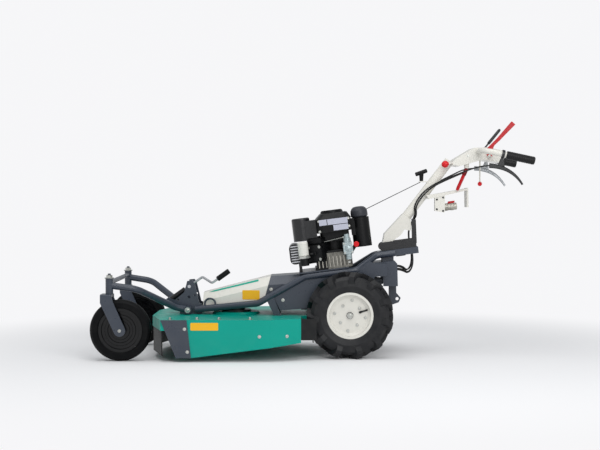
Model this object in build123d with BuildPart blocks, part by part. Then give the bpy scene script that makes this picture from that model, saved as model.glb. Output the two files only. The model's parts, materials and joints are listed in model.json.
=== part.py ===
from build123d import *
import os
from math import atan2, cos, degrees, hypot, radians, sin

# Walk-behind mulching mower, in millimetres.
# +X is forward, +Y is the machine's left, +Z is up.
# The origin lies on the ground under the middle of the machine.

# Fits between pieces
SEAT_GAP = 0.3  # between two pieces that rest on each other
RUNNING_GAP = 0.1  # radial play of a shaft in its bearing

# Rear drive wheels
REAR_AXLE_X = -176
REAR_TRACK = 496
TYRE_R = 208  # to the lug tips
TYRE_WIDTH = 104
CARCASS_R = 187
CARCASS_SHOULDER_R = 172
BEAD_R = 101.6
BEAD_HALF_WIDTH = 34
RIM_FLANGE_R = 111
RIM_FLANGE_WIDTH = 5
RIM_WALL = 4
DISC_OUT = 10  # inner face of the wheel disc, out from the wheel's middle
DISC_THICKNESS = 5
LUGS_PER_SIDE = 11
LUG_WIDTH = 27
LUG_FOOT_R = 148  # how far a lug reaches down the sidewall
LUG_SWEEP = 42  # how far a lug trails round the tyre from its middle to its shoulder
AXLE_R = 16
HUB_FLANGE_R = 72
HUB_FLANGE_THICKNESS = 8

# Front castors
SPINDLE_X = 964
CASTER_TRACK = 660
CASTER_R = 145
CASTER_WIDTH = 62
CASTER_TRAIL = 53
CASTER_RIM_R = 104
SPINDLE_R = 12
HEAD_R = 18
HEAD_BOTTOM = 316
HEAD_TOP = 389
FORK_PLATE = 8
FORK_CROWN = 14
FORK_LEG_WIDTH = 54
FORK_SIDE_PLAY = 5  # between the castor's hub and each fork leg
CASTER_HUB_HALF = 33
CASTER_AXLE_R = 8

# Front arms and the height jack
ARM_TUBE_R = 16
ARM_PIVOT_X = 612
ARM_PIVOT_Z = 222
ARM_PIVOT_R = 18
ARM_PIVOT_HALF = 132
ARM_KNEE = (838, 312, 338)
ARM_ELBOW = (672, 130, 236)
ARM_BENDS = (100, 60)
ARM_FOOT_Y = 104
JACK_PIN_X = 715
JACK_PIN_Z = 258
JACK_PIN_R = 8
JACK_TUBE_R = 13
JACK_SCREW_R = 8
JACK_SLOPE = 35.6  # degrees, the jack rises to the rear
JACK_LENGTH = 130  # from its pin to the trunnion
JACK_TUBE_LENGTH = 98
TRUNNION_R = 15
TRUNNION_PIN_R = 8
LEVER_IN = 21
LEVER_PLATE = 8
CRANK_REACH = 74  # screw end past the trunnion
CRANK_ARM_DROP = 52
CRANK_ARM_OUT = 50
CRANK_GRIP_LENGTH = 66
CRANK_GRIP_R = 13

# Cheeks that carry the arm pivot and the jack
CHEEK_IN = 62
CHEEK_PLATE = 8

# Main frame tubes
FRAME_TUBE_R = 16
FRAME_HALF = 150  # from the middle to a tube under the engine
FRAME_LOW_X, FRAME_LOW_Z = 267, 257
FRAME_FRONT_X, FRAME_FRONT_Z = 576, 222
ENGINE_FRONT_X, ENGINE_FRONT_Z = 39, 386
ENGINE_REAR_X, ENGINE_REAR_Z = -209, 417
SIDE_PLATE = 6
ENGINE_PLATE = 6

# Cutter deck
DECK_HALF = 395
DECK_TOP = 198
DECK_SHEET = 3
DECK_NOSE_X = 780
DECK_NOSE_HALF = 150
DECK_FRONT_X = 716
DECK_BEND_X = 200
DECK_TAIL_X = 58
DECK_TAIL_HALF = 340
DECK_HEEL_X = 2
DECK_HEEL_HALF = 172
DECK_FRONT_LIP = 148
SKIRT_FRONT_Z = 20
SKIRT_BEND_Z = 67
GUARD_PLATE = 5
GUARD_REAR_TOP_X, GUARD_REAR_LOW_X, GUARD_TOE_X = 594, 573, 644
FLAP_SHEET = 5
FLAP_LOW = 30
TAIL_FLAP_LOW = 97
TAIL_FLAP_REAR_X = -16
TAIL_FLAP_IN = 250

# Blade and its spindle
SPINDLE_HOUSING_R = 74
BLADE_SHAFT_R = 15
BLADE_X = 380
BLADE_R = 352
BLADE_Z = 118
BLADE_BAR = 8
BLADE_BAR_WIDTH = 84

# Belt hood
HOOD_SHEET = 3
HOOD_FRONT_X, HOOD_FRONT_TOP = 540, 303
HOOD_REAR_X, HOOD_REAR_HALF, HOOD_REAR_TOP = 205, 124, 386
FACET_IN, FACET_RISE = 34, 41  # sloped facet between the hood's flank and its top
HOOD_RAKE = 36  # how far the rear edge leans forward at its foot
COVER_REAR_X, COVER_REAR_TOP = 52, 396

# Handle
HANDLE_TILT = 7.5  # degrees, the handle support rises to the rear
SWIVEL_X, SWIVEL_Z = -435, 519
SWIVEL_R = 16
SUPPORT_HALF = 52
SUPPORT_DEPTH = 32
SUPPORT_FRONT, SUPPORT_REAR = 116, -86
BASE_HALF = 46
BASE_HEIGHT = 42
BASE_WALL = 7
BAR_R = 14
GRIP_R = 19
GRIP_Y = 260
GRIP_START = (-921, 975)
GRIP_END = (-1057, 946)
CABLE_R = 3.6
ROPE_R = 2

PARTS = {}


def keep(part, name):
    """Labels a finished piece and files it under its node's name."""
    part.label = name
    PARTS[name] = part


def mirrored(part):
    """The right-hand twin of a left-hand piece."""
    return mirror(part, about=Plane.XZ)


def round_bar(points, bends, radius):
    """A round bar along straight runs joined by tangent arcs."""
    with BuildPart() as bar:
        with BuildLine():
            run = FilletPolyline(*points, radius=bends)
        with BuildSketch(Plane(run @ 0, z_dir=run % 0)):
            Circle(radius)
        sweep()
    return bar.part


def straight_bar(start, end, radius):
    """A straight round bar between two points."""
    axis = Vector(*end) - Vector(*start)
    with BuildPart() as bar:
        with BuildSketch(Plane(start, z_dir=axis)):
            Circle(radius)
        extrude(amount=axis.length)
    return bar.part


def side_plate(outline, y_low, y_high):
    """A flat plate of the given side view, between two distances to the left."""
    with BuildPart() as plate:
        with BuildSketch(Plane.XZ.offset(-y_high)):
            with BuildLine():
                Polyline(*outline, close=True)
            make_face()
        extrude(amount=y_high - y_low)
    return plate.part


def wheel_section(x, y, z):
    """The plane of a wheel's half section: local x runs out from the axle and local y to the left."""
    return Plane(origin=(x, y, z), x_dir=(0, 0, 1), z_dir=(-1, 0, 0))


def turned(outline, x, y, z):
    """A piece turned about an axle along Y, from its half section of radius and distance to the left."""
    with BuildPart() as piece:
        with BuildSketch(wheel_section(x, y, z)):
            with BuildLine():
                Polyline(*outline, close=True)
            make_face()
        revolve(axis=Axis((x, y, z), (0, 1, 0)))
    return piece.part


# Rear wheels
REAR_Y = REAR_TRACK / 2
REAR_HUB = (REAR_AXLE_X, REAR_Y, TYRE_R)
REAR_AXIS = Axis(REAR_HUB, (0, 1, 0))
TYRE_HALF = TYRE_WIDTH / 2
SIDEWALL = TYRE_HALF - 6  # half width over the sidewalls, inside the lugs
CARCASS_CROWN = 18
LUG_CROWN = 10
DISC_FACE = DISC_OUT + DISC_THICKNESS
RIM_OUT = BEAD_HALF_WIDTH + RIM_FLANGE_WIDTH


def tread_lugs():
    """Two rows of slanted lugs in a chevron that reach over the shoulders, trimmed to the tread's outline."""
    overlap = 4  # the two rows meet past the tread's middle
    with BuildPart() as lugs:
        for number in range(2 * LUGS_PER_SIDE):
            side = 1 if number % 2 else -1
            angle = radians(180 / LUGS_PER_SIDE * (number + 0.5))
            outward = Vector(sin(angle), 0, cos(angle))
            around = Vector(cos(angle), 0, -sin(angle))
            with BuildSketch(Plane(Vector(*REAR_HUB) + outward * LUG_FOOT_R, x_dir=around, z_dir=outward)):
                with BuildLine():
                    Polyline(
                        (-LUG_SWEEP / 2 - LUG_WIDTH / 2, -overlap * side),
                        (-LUG_SWEEP / 2 + LUG_WIDTH / 2, -overlap * side),
                        (LUG_SWEEP / 2 + LUG_WIDTH / 2, TYRE_HALF * side),
                        (LUG_SWEEP / 2 - LUG_WIDTH / 2, TYRE_HALF * side),
                        close=True,
                    )
                make_face()
        extrude(amount=TYRE_R - LUG_FOOT_R + overlap)
        with BuildSketch(wheel_section(*REAR_HUB)):
            with BuildLine():
                Polyline(
                    (LUG_FOOT_R, SIDEWALL - 2),
                    (CARCASS_SHOULDER_R, TYRE_HALF),
                    (CARCASS_R, TYRE_HALF),
                    (TYRE_R, TYRE_HALF - LUG_CROWN),
                    (TYRE_R, LUG_CROWN - TYRE_HALF),
                    (CARCASS_R, -TYRE_HALF),
                    (CARCASS_SHOULDER_R, -TYRE_HALF),
                    (LUG_FOOT_R, 2 - SIDEWALL),
                    close=True,
                )
            make_face()
        revolve(axis=REAR_AXIS, mode=Mode.INTERSECT)
    return lugs.part


def rear_tyre():
    bore = BEAD_R + SEAT_GAP
    bead = BEAD_HALF_WIDTH - SEAT_GAP
    lip_r = RIM_FLANGE_R + SEAT_GAP
    bulge_r = (RIM_FLANGE_R + CARCASS_SHOULDER_R) / 2
    half_section = [
        (bore, bead),
        (lip_r, bead),
        (lip_r, RIM_OUT),
        (bulge_r, SIDEWALL),
        (CARCASS_SHOULDER_R, SIDEWALL - 3),
        (CARCASS_R, SIDEWALL - CARCASS_CROWN),
    ]
    carcass = turned(half_section + [(radius, -out) for radius, out in reversed(half_section)], *REAR_HUB)
    lugs = tread_lugs()
    with BuildPart() as tyre:
        add(carcass)
        add(lugs)
    return tyre.part


def rear_rim():
    """Pressed wheel with two flanges, a drop barrel and a flat disc with its hub hole."""
    barrel_in = BEAD_R - RIM_WALL
    outline = [
        (AXLE_R + SEAT_GAP, DISC_OUT),
        (barrel_in - 12, DISC_OUT),
        (barrel_in, DISC_OUT - 10),
        (barrel_in, -RIM_OUT),
        (RIM_FLANGE_R, -RIM_OUT),
        (RIM_FLANGE_R, -BEAD_HALF_WIDTH),
        (BEAD_R, -BEAD_HALF_WIDTH),
        (BEAD_R, BEAD_HALF_WIDTH),
        (RIM_FLANGE_R, BEAD_HALF_WIDTH),
        (RIM_FLANGE_R, RIM_OUT),
        (barrel_in + 2, RIM_OUT),
        (barrel_in, DISC_FACE + 10),
        (barrel_in - 14, DISC_FACE),
        (AXLE_R + SEAT_GAP, DISC_FACE),
    ]
    return turned(outline, *REAR_HUB)


AXLE_INNER_Y = 70  # where a half axle ends inside the gearbox


def rear_axle():
    """Half axle with its hub flange behind the wheel disc and a nut in front of it."""
    flange_face = DISC_OUT - SEAT_GAP
    outline = [
        (0, AXLE_INNER_Y - REAR_Y),
        (AXLE_R, AXLE_INNER_Y - REAR_Y),
        (AXLE_R, flange_face - HUB_FLANGE_THICKNESS - 16),
        (AXLE_R + 12, flange_face - HUB_FLANGE_THICKNESS - 16),
        (AXLE_R + 12, flange_face - HUB_FLANGE_THICKNESS),
        (HUB_FLANGE_R, flange_face - HUB_FLANGE_THICKNESS),
        (HUB_FLANGE_R, flange_face),
        (AXLE_R, flange_face),
        (AXLE_R, DISC_FACE + 4),
        (AXLE_R - 4, DISC_FACE + 12),
        (0, DISC_FACE + 12),
    ]
    return turned(outline, *REAR_HUB)


for builder, node in ((rear_tyre, "rear_tyre"), (rear_rim, "rear_rim"), (rear_axle, "rear_axle")):
    left = builder()
    keep(left, node + "_left")
    keep(mirrored(left), node + "_right")

# Front castors
CASTER_Y = CASTER_TRACK / 2
CASTER_AXLE = (SPINDLE_X - CASTER_TRAIL, CASTER_Y, CASTER_R)
LEG_IN = CASTER_HUB_HALF + FORK_SIDE_PLAY
LEG_OUT = LEG_IN + FORK_PLATE


def caster_fork():
    """Bent plate fork with its axle pin, its spindle and the washer and nut above the head."""
    axle_x, axle_z = CASTER_AXLE[0], CASTER_AXLE[2]
    crown_top = HEAD_BOTTOM - SEAT_GAP
    front_x, rear_x = SPINDLE_X + 38, SPINDLE_X - 16
    lean = atan2(crown_top - 40 - axle_z, (front_x + rear_x) / 2 - axle_x)
    half_leg = FORK_LEG_WIDTH / 2
    across = (sin(lean) * half_leg, -cos(lean) * half_leg)
    with BuildPart() as fork:
        for y_out in (LEG_OUT, -LEG_IN):
            with BuildSketch(Plane.XZ.offset(-CASTER_Y - y_out)):
                with BuildLine():
                    Polyline(
                        (front_x, crown_top),
                        (front_x, crown_top - 40),
                        (axle_x + across[0], axle_z + across[1]),
                        (axle_x - across[0], axle_z - across[1]),
                        (rear_x, crown_top - 20),
                        (rear_x, crown_top),
                        close=True,
                    )
                make_face()
                with Locations((axle_x, axle_z)):
                    Circle(half_leg)
            extrude(amount=FORK_PLATE)
        with BuildSketch(Plane.XY.offset(crown_top - FORK_CROWN)):
            with Locations(((front_x + rear_x) / 2, CASTER_Y)):
                Rectangle(front_x - rear_x, 2 * LEG_OUT)
        extrude(amount=FORK_CROWN)
        fillet(fork.edges().filter_by(Axis.X).group_by(Axis.Z)[-1], radius=FORK_PLATE - 1)
        with BuildSketch(Plane.XZ.offset(-CASTER_Y - LEG_IN)):
            with Locations((axle_x, axle_z)):
                Circle(CASTER_AXLE_R)
        extrude(amount=2 * LEG_IN)
        for level, radius, height in (
            (crown_top, SPINDLE_R, HEAD_TOP - crown_top + 2),
            (HEAD_TOP + SEAT_GAP, HEAD_R + 4, 4),
            (HEAD_TOP + SEAT_GAP + 4, SPINDLE_R, 12),
            (HEAD_TOP + SEAT_GAP + 16, SPINDLE_R - 5, 7),
        ):
            with BuildSketch(Plane.XY.offset(level)):
                with Locations((SPINDLE_X, CASTER_Y)):
                    Circle(radius)
            extrude(amount=height)
    return fork.part


def caster_rim():
    """Stepped disc wheel with a hub, ring by ring out to the tyre seat."""
    steps = ((26, CASTER_HUB_HALF), (44, 16), (58, 11), (72, 15), (88, 10), (CASTER_RIM_R, 22))
    bore = CASTER_AXLE_R + RUNNING_GAP
    face = [(bore, CASTER_HUB_HALF), (steps[0][0], CASTER_HUB_HALF)]
    for (inner, _), (outer, out) in zip(steps, steps[1:]):
        face += [(inner + 2, out), (outer, out)]
    back = [(radius, -out) for radius, out in reversed(face)]
    return turned(face + back, *CASTER_AXLE)


def caster_tyre():
    """Solid rubber tyre with flat flanks and a crowned tread."""
    half = CASTER_WIDTH / 2
    bore = CASTER_RIM_R + SEAT_GAP
    bevel = 4
    half_section = [
        (bore, half - bevel),
        (bore + bevel, half),
        (CASTER_R - 14, half),
        (CASTER_R - 5, half * 0.7),
        (CASTER_R, half * 0.3),
    ]
    return turned(half_section + [(radius, -out) for radius, out in reversed(half_section)], *CASTER_AXLE)


for builder, node in ((caster_fork, "caster_fork"), (caster_rim, "caster_rim"), (caster_tyre, "caster_tyre")):
    left = builder()
    keep(left, node + "_left")
    keep(mirrored(left), node + "_right")

# Front arms
ARM_PIVOT = (ARM_PIVOT_X, 0, ARM_PIVOT_Z)
ARM_HEAD_Z = (HEAD_TOP + HEAD_BOTTOM) / 2 + 4


def pivot_bar(radius, half_length):
    """A round bar across the machine on the arm pivot."""
    middle = Vector(ARM_PIVOT_X, 0, ARM_PIVOT_Z)
    reach = Vector(0, half_length, 0)
    return straight_bar(middle - reach, middle + reach, radius)


def front_arm():
    """Bent tube from the pivot bar forward and out to the castor's head."""
    foot = (ARM_PIVOT_X, ARM_FOOT_Y, ARM_PIVOT_Z)
    tube = round_bar([(SPINDLE_X, CASTER_Y, ARM_HEAD_Z), ARM_KNEE, ARM_ELBOW, foot], ARM_BENDS, ARM_TUBE_R)
    coping = pivot_bar(ARM_PIVOT_R + SEAT_GAP, ARM_PIVOT_HALF + ARM_TUBE_R)
    with BuildPart() as arm:
        add(tube)
        with BuildSketch(Plane.XY.offset(HEAD_BOTTOM)):
            with Locations((SPINDLE_X, CASTER_Y)):
                Circle(HEAD_R)
        extrude(amount=HEAD_TOP - HEAD_BOTTOM)
        with BuildSketch(Plane.XY.offset(HEAD_BOTTOM)):
            with Locations((SPINDLE_X, CASTER_Y)):
                Circle(SPINDLE_R + RUNNING_GAP)
        extrude(amount=HEAD_TOP - HEAD_BOTTOM, mode=Mode.SUBTRACT)
        add(coping, mode=Mode.SUBTRACT)
    return arm.part


left = front_arm()
keep(left, "arm_left")
keep(mirrored(left), "arm_right")

CROSSBAR_R = 11
crossbar_end = CASTER_Y - HEAD_R - SEAT_GAP
with BuildPart() as crossbar:
    with BuildSketch(Plane.XZ.offset(-crossbar_end)):
        with Locations((SPINDLE_X, HEAD_TOP - 20)):
            Circle(CROSSBAR_R)
    extrude(amount=2 * crossbar_end)
keep(crossbar.part, "arm_crossbar")


def arm_pivot():
    """Pivot bar between the arms, with the two levers and the pin that the jack pushes on."""
    bar = pivot_bar(ARM_PIVOT_R, ARM_PIVOT_HALF)
    reach = hypot(JACK_PIN_X - ARM_PIVOT_X, JACK_PIN_Z - ARM_PIVOT_Z)
    slope = degrees(atan2(JACK_PIN_Z - ARM_PIVOT_Z, JACK_PIN_X - ARM_PIVOT_X))
    with BuildPart() as pivot:
        add(bar)
        for y_out in (LEVER_IN + LEVER_PLATE, -LEVER_IN):
            with BuildSketch(Plane.XZ.offset(-y_out)):
                with Locations((ARM_PIVOT_X, ARM_PIVOT_Z)):
                    with Locations(Rotation(0, 0, slope)):
                        with Locations((reach / 2, 0)):
                            Rectangle(reach, 2 * JACK_PIN_R + 16)
                with Locations((JACK_PIN_X, JACK_PIN_Z)):
                    Circle(JACK_PIN_R + 8)
            extrude(amount=LEVER_PLATE)
        with BuildSketch(Plane.XZ.offset(-LEVER_IN - LEVER_PLATE - 3)):
            with Locations((JACK_PIN_X, JACK_PIN_Z)):
                Circle(JACK_PIN_R)
        extrude(amount=2 * (LEVER_IN + LEVER_PLATE + 3))
    return pivot.part


keep(arm_pivot(), "arm_pivot")

# Height jack: a threaded tube on the levers, and a crank screw in a trunnion between the cheeks
JACK_UP = Vector(-cos(radians(JACK_SLOPE)), 0, sin(radians(JACK_SLOPE)))
JACK_DOWN_BACK = Vector(-sin(radians(JACK_SLOPE)), 0, -cos(radians(JACK_SLOPE)))
JACK_PIN = Vector(JACK_PIN_X, 0, JACK_PIN_Z)
TRUNNION = JACK_PIN + JACK_UP * JACK_LENGTH

with BuildPart() as jack_tube:
    with BuildSketch(Plane(JACK_PIN, z_dir=JACK_UP)):
        Circle(JACK_TUBE_R)
    extrude(amount=JACK_TUBE_LENGTH)
    with BuildSketch(Plane.XZ.offset(-LEVER_IN + 1)):
        with Locations((JACK_PIN_X, JACK_PIN_Z)):
            Circle(JACK_PIN_R + 8)
    extrude(amount=2 * LEVER_IN - 2)
    with BuildSketch(Plane.XZ.offset(-LEVER_IN)):
        with Locations((JACK_PIN_X, JACK_PIN_Z)):
            Circle(JACK_PIN_R + RUNNING_GAP)
    extrude(amount=2 * LEVER_IN, mode=Mode.SUBTRACT)
    with BuildSketch(Plane(JACK_PIN + JACK_UP * (JACK_PIN_R + 16), z_dir=JACK_UP)):
        Circle(JACK_SCREW_R + 2)
    extrude(amount=JACK_TUBE_LENGTH, mode=Mode.SUBTRACT)
keep(jack_tube.part, "jack_tube")

crank_elbow = TRUNNION + JACK_UP * CRANK_REACH
crank_wrist = crank_elbow + JACK_UP * 26 + JACK_DOWN_BACK * CRANK_ARM_DROP + Vector(0, CRANK_ARM_OUT, 0)
crank_end = crank_wrist + JACK_UP * (34 + CRANK_GRIP_LENGTH)
screw_foot = JACK_PIN + JACK_UP * (JACK_PIN_R + 34)
crank_rod = round_bar([screw_foot, crank_elbow, crank_wrist, crank_end], 12, JACK_SCREW_R - 2)
with BuildPart() as crank_screw:
    add(crank_rod)
    with BuildSketch(Plane.XZ.offset(-CHEEK_IN + 1)):
        with Locations((TRUNNION.X, TRUNNION.Z)):
            Circle(TRUNNION_R)
    extrude(amount=2 * CHEEK_IN - 2)
    with BuildSketch(Plane.XZ.offset(-CHEEK_IN - CHEEK_PLATE)):
        with Locations((TRUNNION.X, TRUNNION.Z)):
            Circle(TRUNNION_PIN_R)
    extrude(amount=2 * (CHEEK_IN + CHEEK_PLATE))
keep(crank_screw.part, "crank_screw")

with BuildPart() as crank_grip:
    with BuildSketch(Plane(crank_wrist + JACK_UP * 32, z_dir=JACK_UP)):
        Circle(CRANK_GRIP_R)
    extrude(amount=CRANK_GRIP_LENGTH + 6)
    fillet(crank_grip.edges(), radius=4)
    with BuildSketch(Plane(crank_wrist + JACK_UP * 32, z_dir=JACK_UP)):
        Circle(JACK_SCREW_R - 2 + SEAT_GAP)
    extrude(amount=CRANK_GRIP_LENGTH + 2 + SEAT_GAP, mode=Mode.SUBTRACT)
keep(crank_grip.part, "crank_grip")


def front_bracket():
    """Two drilled cheeks on a foot plate on the deck, with a web between them behind the arm pivot."""
    foot = DECK_TOP + SEAT_GAP
    foot_plate = 6
    cheek = [
        (ARM_PIVOT_X + 44, foot),
        (ARM_PIVOT_X + 44, ARM_PIVOT_Z + 24),
        (JACK_PIN_X - 19, ARM_PIVOT_Z + 30),
        (TRUNNION.X + 25, TRUNNION.Z - 28),
        (TRUNNION.X + 20, TRUNNION.Z - 10),
        (TRUNNION.X + 10, TRUNNION.Z + 27),
        (TRUNNION.X - 16, TRUNNION.Z + 29),
        (TRUNNION.X - 27, TRUNNION.Z + 12),
        (ARM_PIVOT_X - 52, ARM_PIVOT_Z + 31),
        (FRAME_FRONT_X - 31, FRAME_FRONT_Z + 24),
        (FRAME_FRONT_X - 31, foot),
    ]
    left_cheek = side_plate(cheek, CHEEK_IN, CHEEK_IN + CHEEK_PLATE)
    right_cheek = mirrored(left_cheek)
    with BuildPart() as bracket:
        add(left_cheek)
        add(right_cheek)
        with BuildSketch(Plane.XZ.offset(-CHEEK_IN)):
            with Locations((ARM_PIVOT_X - 50, foot + 20)):
                Rectangle(foot_plate, 40)
            with Locations((ARM_PIVOT_X - 40, foot + foot_plate / 2)):
                Rectangle(50, foot_plate)
        extrude(amount=2 * CHEEK_IN)
        reach = CHEEK_IN + CHEEK_PLATE
        for x, z, radius in (
            (ARM_PIVOT_X, ARM_PIVOT_Z, ARM_PIVOT_R + RUNNING_GAP),
            (TRUNNION.X, TRUNNION.Z, TRUNNION_PIN_R + RUNNING_GAP),
            (TRUNNION.X + 1, TRUNNION.Z - 52, 7),
            (TRUNNION.X - 27, TRUNNION.Z - 43, 5),
            (TRUNNION.X + 55, TRUNNION.Z - 65, 6),
        ):
            with BuildSketch(Plane.XZ.offset(-reach)):
                with Locations((x, z)):
                    Circle(radius)
            extrude(amount=2 * reach, mode=Mode.SUBTRACT)
    return bracket.part


keep(front_bracket(), "front_bracket")

# Swivel of the handle
SWIVEL_TILT = radians(HANDLE_TILT)
SWIVEL = Plane(
    (SWIVEL_X, 0, SWIVEL_Z),
    x_dir=(cos(SWIVEL_TILT), 0, -sin(SWIVEL_TILT)),
    z_dir=(sin(SWIVEL_TILT), 0, cos(SWIVEL_TILT)),
)


def on_swivel(forward, left, up):
    """A point given forward, left and up from the handle's swivel."""
    return SWIVEL.from_local_coords((forward, left, up))


def swivel_flank(left):
    """Upright plane along the handle support: local x runs forward and local y up."""
    return Plane(on_swivel(0, left, 0), x_dir=SWIVEL.x_dir, z_dir=(0, -1, 0))


# Main frame: one bent tube a side, with its gusset plate, deck hanger and lashing loop
frame_front_y = CHEEK_IN + CHEEK_PLATE + FRAME_TUBE_R + SEAT_GAP
tail_y = SUPPORT_HALF + FRAME_TUBE_R + SEAT_GAP
FRAME_RUN = [
    (FRAME_FRONT_X, frame_front_y, FRAME_FRONT_Z),
    (FRAME_LOW_X, FRAME_HALF, FRAME_LOW_Z),
    (ENGINE_FRONT_X, FRAME_HALF, ENGINE_FRONT_Z),
    (ENGINE_REAR_X, FRAME_HALF, ENGINE_REAR_Z),
    on_swivel(SUPPORT_FRONT + 10, tail_y, -SUPPORT_DEPTH / 2),
    on_swivel(SUPPORT_FRONT - 84, tail_y, -SUPPORT_DEPTH / 2),
]
RISE = (ENGINE_FRONT_Z - FRAME_LOW_Z) / (FRAME_LOW_X - ENGINE_FRONT_X)
FRAME_SPREAD = (FRAME_HALF - frame_front_y) / (FRAME_FRONT_X - FRAME_LOW_X)


def frame_side():
    tube = round_bar(FRAME_RUN, 50, FRAME_TUBE_R)
    plate_outline = [
        (FRAME_LOW_X - 70, FRAME_LOW_Z + 70 * RISE),
        (FRAME_LOW_X - 84, FRAME_LOW_Z + 13),
        (FRAME_LOW_X - 108, 222),
        (ENGINE_FRONT_X - 10, 232),
        (REAR_AXLE_X + 90, 236),
        (REAR_AXLE_X - 60, 300),
        (REAR_AXLE_X - 116, 342),
        (REAR_AXLE_X - 124, 386),
        (REAR_AXLE_X - 184, 390),
        (REAR_AXLE_X - 186, ENGINE_REAR_Z + 33),
        (ENGINE_REAR_X - 90, ENGINE_REAR_Z + 36),
        (ENGINE_REAR_X - 66, ENGINE_REAR_Z + 44),
        (ENGINE_REAR_X, ENGINE_REAR_Z),
        (ENGINE_FRONT_X, ENGINE_FRONT_Z),
    ]
    gusset = side_plate(plate_outline, FRAME_HALF - SIDE_PLATE / 2, FRAME_HALF + SIDE_PLATE / 2)
    hanger_foot = DECK_TOP + SEAT_GAP
    hanger_outline = [
        (FRAME_LOW_X - 78, hanger_foot),
        (FRAME_LOW_X - 112, hanger_foot),
        (FRAME_LOW_X - 76, FRAME_LOW_Z + 30),
        (FRAME_LOW_X - 40, FRAME_LOW_Z + 20),
    ]
    hanger = side_plate(hanger_outline, FRAME_HALF - 4, FRAME_HALF + 10)
    loop_front, loop_rear = FRAME_FRONT_X - 46, FRAME_FRONT_X - 98
    lean = (FRAME_LOW_Z - FRAME_FRONT_Z) / (FRAME_FRONT_X - FRAME_LOW_X)
    loop_feet = [
        (x, frame_front_y + (FRAME_FRONT_X - x) * FRAME_SPREAD, FRAME_FRONT_Z + (FRAME_FRONT_X - x) * lean)
        for x in (loop_front, loop_rear)
    ]
    loop_top = FRAME_FRONT_Z + 54
    loop = round_bar(
        [
            loop_feet[0],
            (loop_front, loop_feet[0][1], loop_top),
            (loop_rear, loop_feet[1][1], loop_top),
            loop_feet[1],
        ],
        24,
        5,
    )
    with BuildPart() as frame:
        add(tube)
        add(gusset)
        add(hanger)
        add(loop)
    return frame.part


left = frame_side()
keep(left, "frame_left")
keep(mirrored(left), "frame_right")

# Cutter deck
SKIRT_SLOPE = (SKIRT_BEND_Z - SKIRT_FRONT_Z) / (GUARD_REAR_LOW_X - DECK_BEND_X)
DECK_OUTLINE = [
    (DECK_NOSE_X, DECK_NOSE_HALF),
    (DECK_FRONT_X, DECK_HALF),
    (DECK_BEND_X, DECK_HALF),
    (DECK_TAIL_X, DECK_TAIL_HALF),
    (DECK_TAIL_X, DECK_HEEL_HALF),
    (DECK_HEEL_X, DECK_HEEL_HALF),
]
DECK_RING = DECK_OUTLINE + [(x, -y) for x, y in reversed(DECK_OUTLINE)]
DECK_BOSS_R = 120
DECK_BOSS_RISE = 10


def deck_shell():
    """Welded sheet deck: a top on folded walls, open below, with a lip across the nose and rising skirts."""
    tail_z = SKIRT_BEND_Z + (DECK_BEND_X - DECK_TAIL_X) * SKIRT_SLOPE
    below = [
        (max(DECK_NOSE_X, DECK_FRONT_X) + 40, DECK_FRONT_LIP),
        (DECK_FRONT_X - 20, DECK_FRONT_LIP),
        (GUARD_TOE_X, SKIRT_FRONT_Z),
        (GUARD_REAR_LOW_X, SKIRT_FRONT_Z),
        (DECK_BEND_X, SKIRT_BEND_Z),
        (DECK_TAIL_X, tail_z),
        (DECK_HEEL_X - 40, tail_z + 6),
        (DECK_HEEL_X - 40, SKIRT_FRONT_Z - 20),
        (max(DECK_NOSE_X, DECK_FRONT_X) + 40, SKIRT_FRONT_Z - 20),
    ]
    trim = side_plate(below, -DECK_HALF - 20, DECK_HALF + 20)
    with BuildPart() as deck:
        with BuildSketch(Plane.XY.offset(SKIRT_FRONT_Z)):
            with BuildLine():
                Polyline(*DECK_RING, close=True)
            make_face()
        extrude(amount=DECK_TOP - SKIRT_FRONT_Z)
        offset(amount=-DECK_SHEET, openings=deck.faces().sort_by(Axis.Z)[0])
        add(trim, mode=Mode.SUBTRACT)
        with BuildSketch(Plane.XY.offset(DECK_TOP)):
            with Locations((BLADE_X, 0)):
                Circle(DECK_BOSS_R)
        extrude(amount=DECK_BOSS_RISE, taper=40)
        with BuildSketch(Plane.XY.offset(DECK_TOP - DECK_SHEET)):
            with Locations((BLADE_X, 0)):
                Circle(BLADE_SHAFT_R + 8)
        extrude(amount=DECK_SHEET + DECK_BOSS_RISE, mode=Mode.SUBTRACT)
    return deck.part


keep(deck_shell(), "deck_shell")

with BuildPart() as guards:
    with BuildSketch(Plane.XZ.offset(-DECK_HALF - SEAT_GAP - GUARD_PLATE)):
        with BuildLine():
            Polyline(
                (DECK_FRONT_X, DECK_TOP),
                (GUARD_REAR_TOP_X, DECK_TOP),
                (GUARD_REAR_LOW_X, SKIRT_FRONT_Z),
                (GUARD_TOE_X, SKIRT_FRONT_Z),
                close=True,
            )
        make_face()
    extrude(amount=GUARD_PLATE)
    mirror(about=Plane.XZ)
keep(guards.part, "deck_corner_guards")

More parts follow.
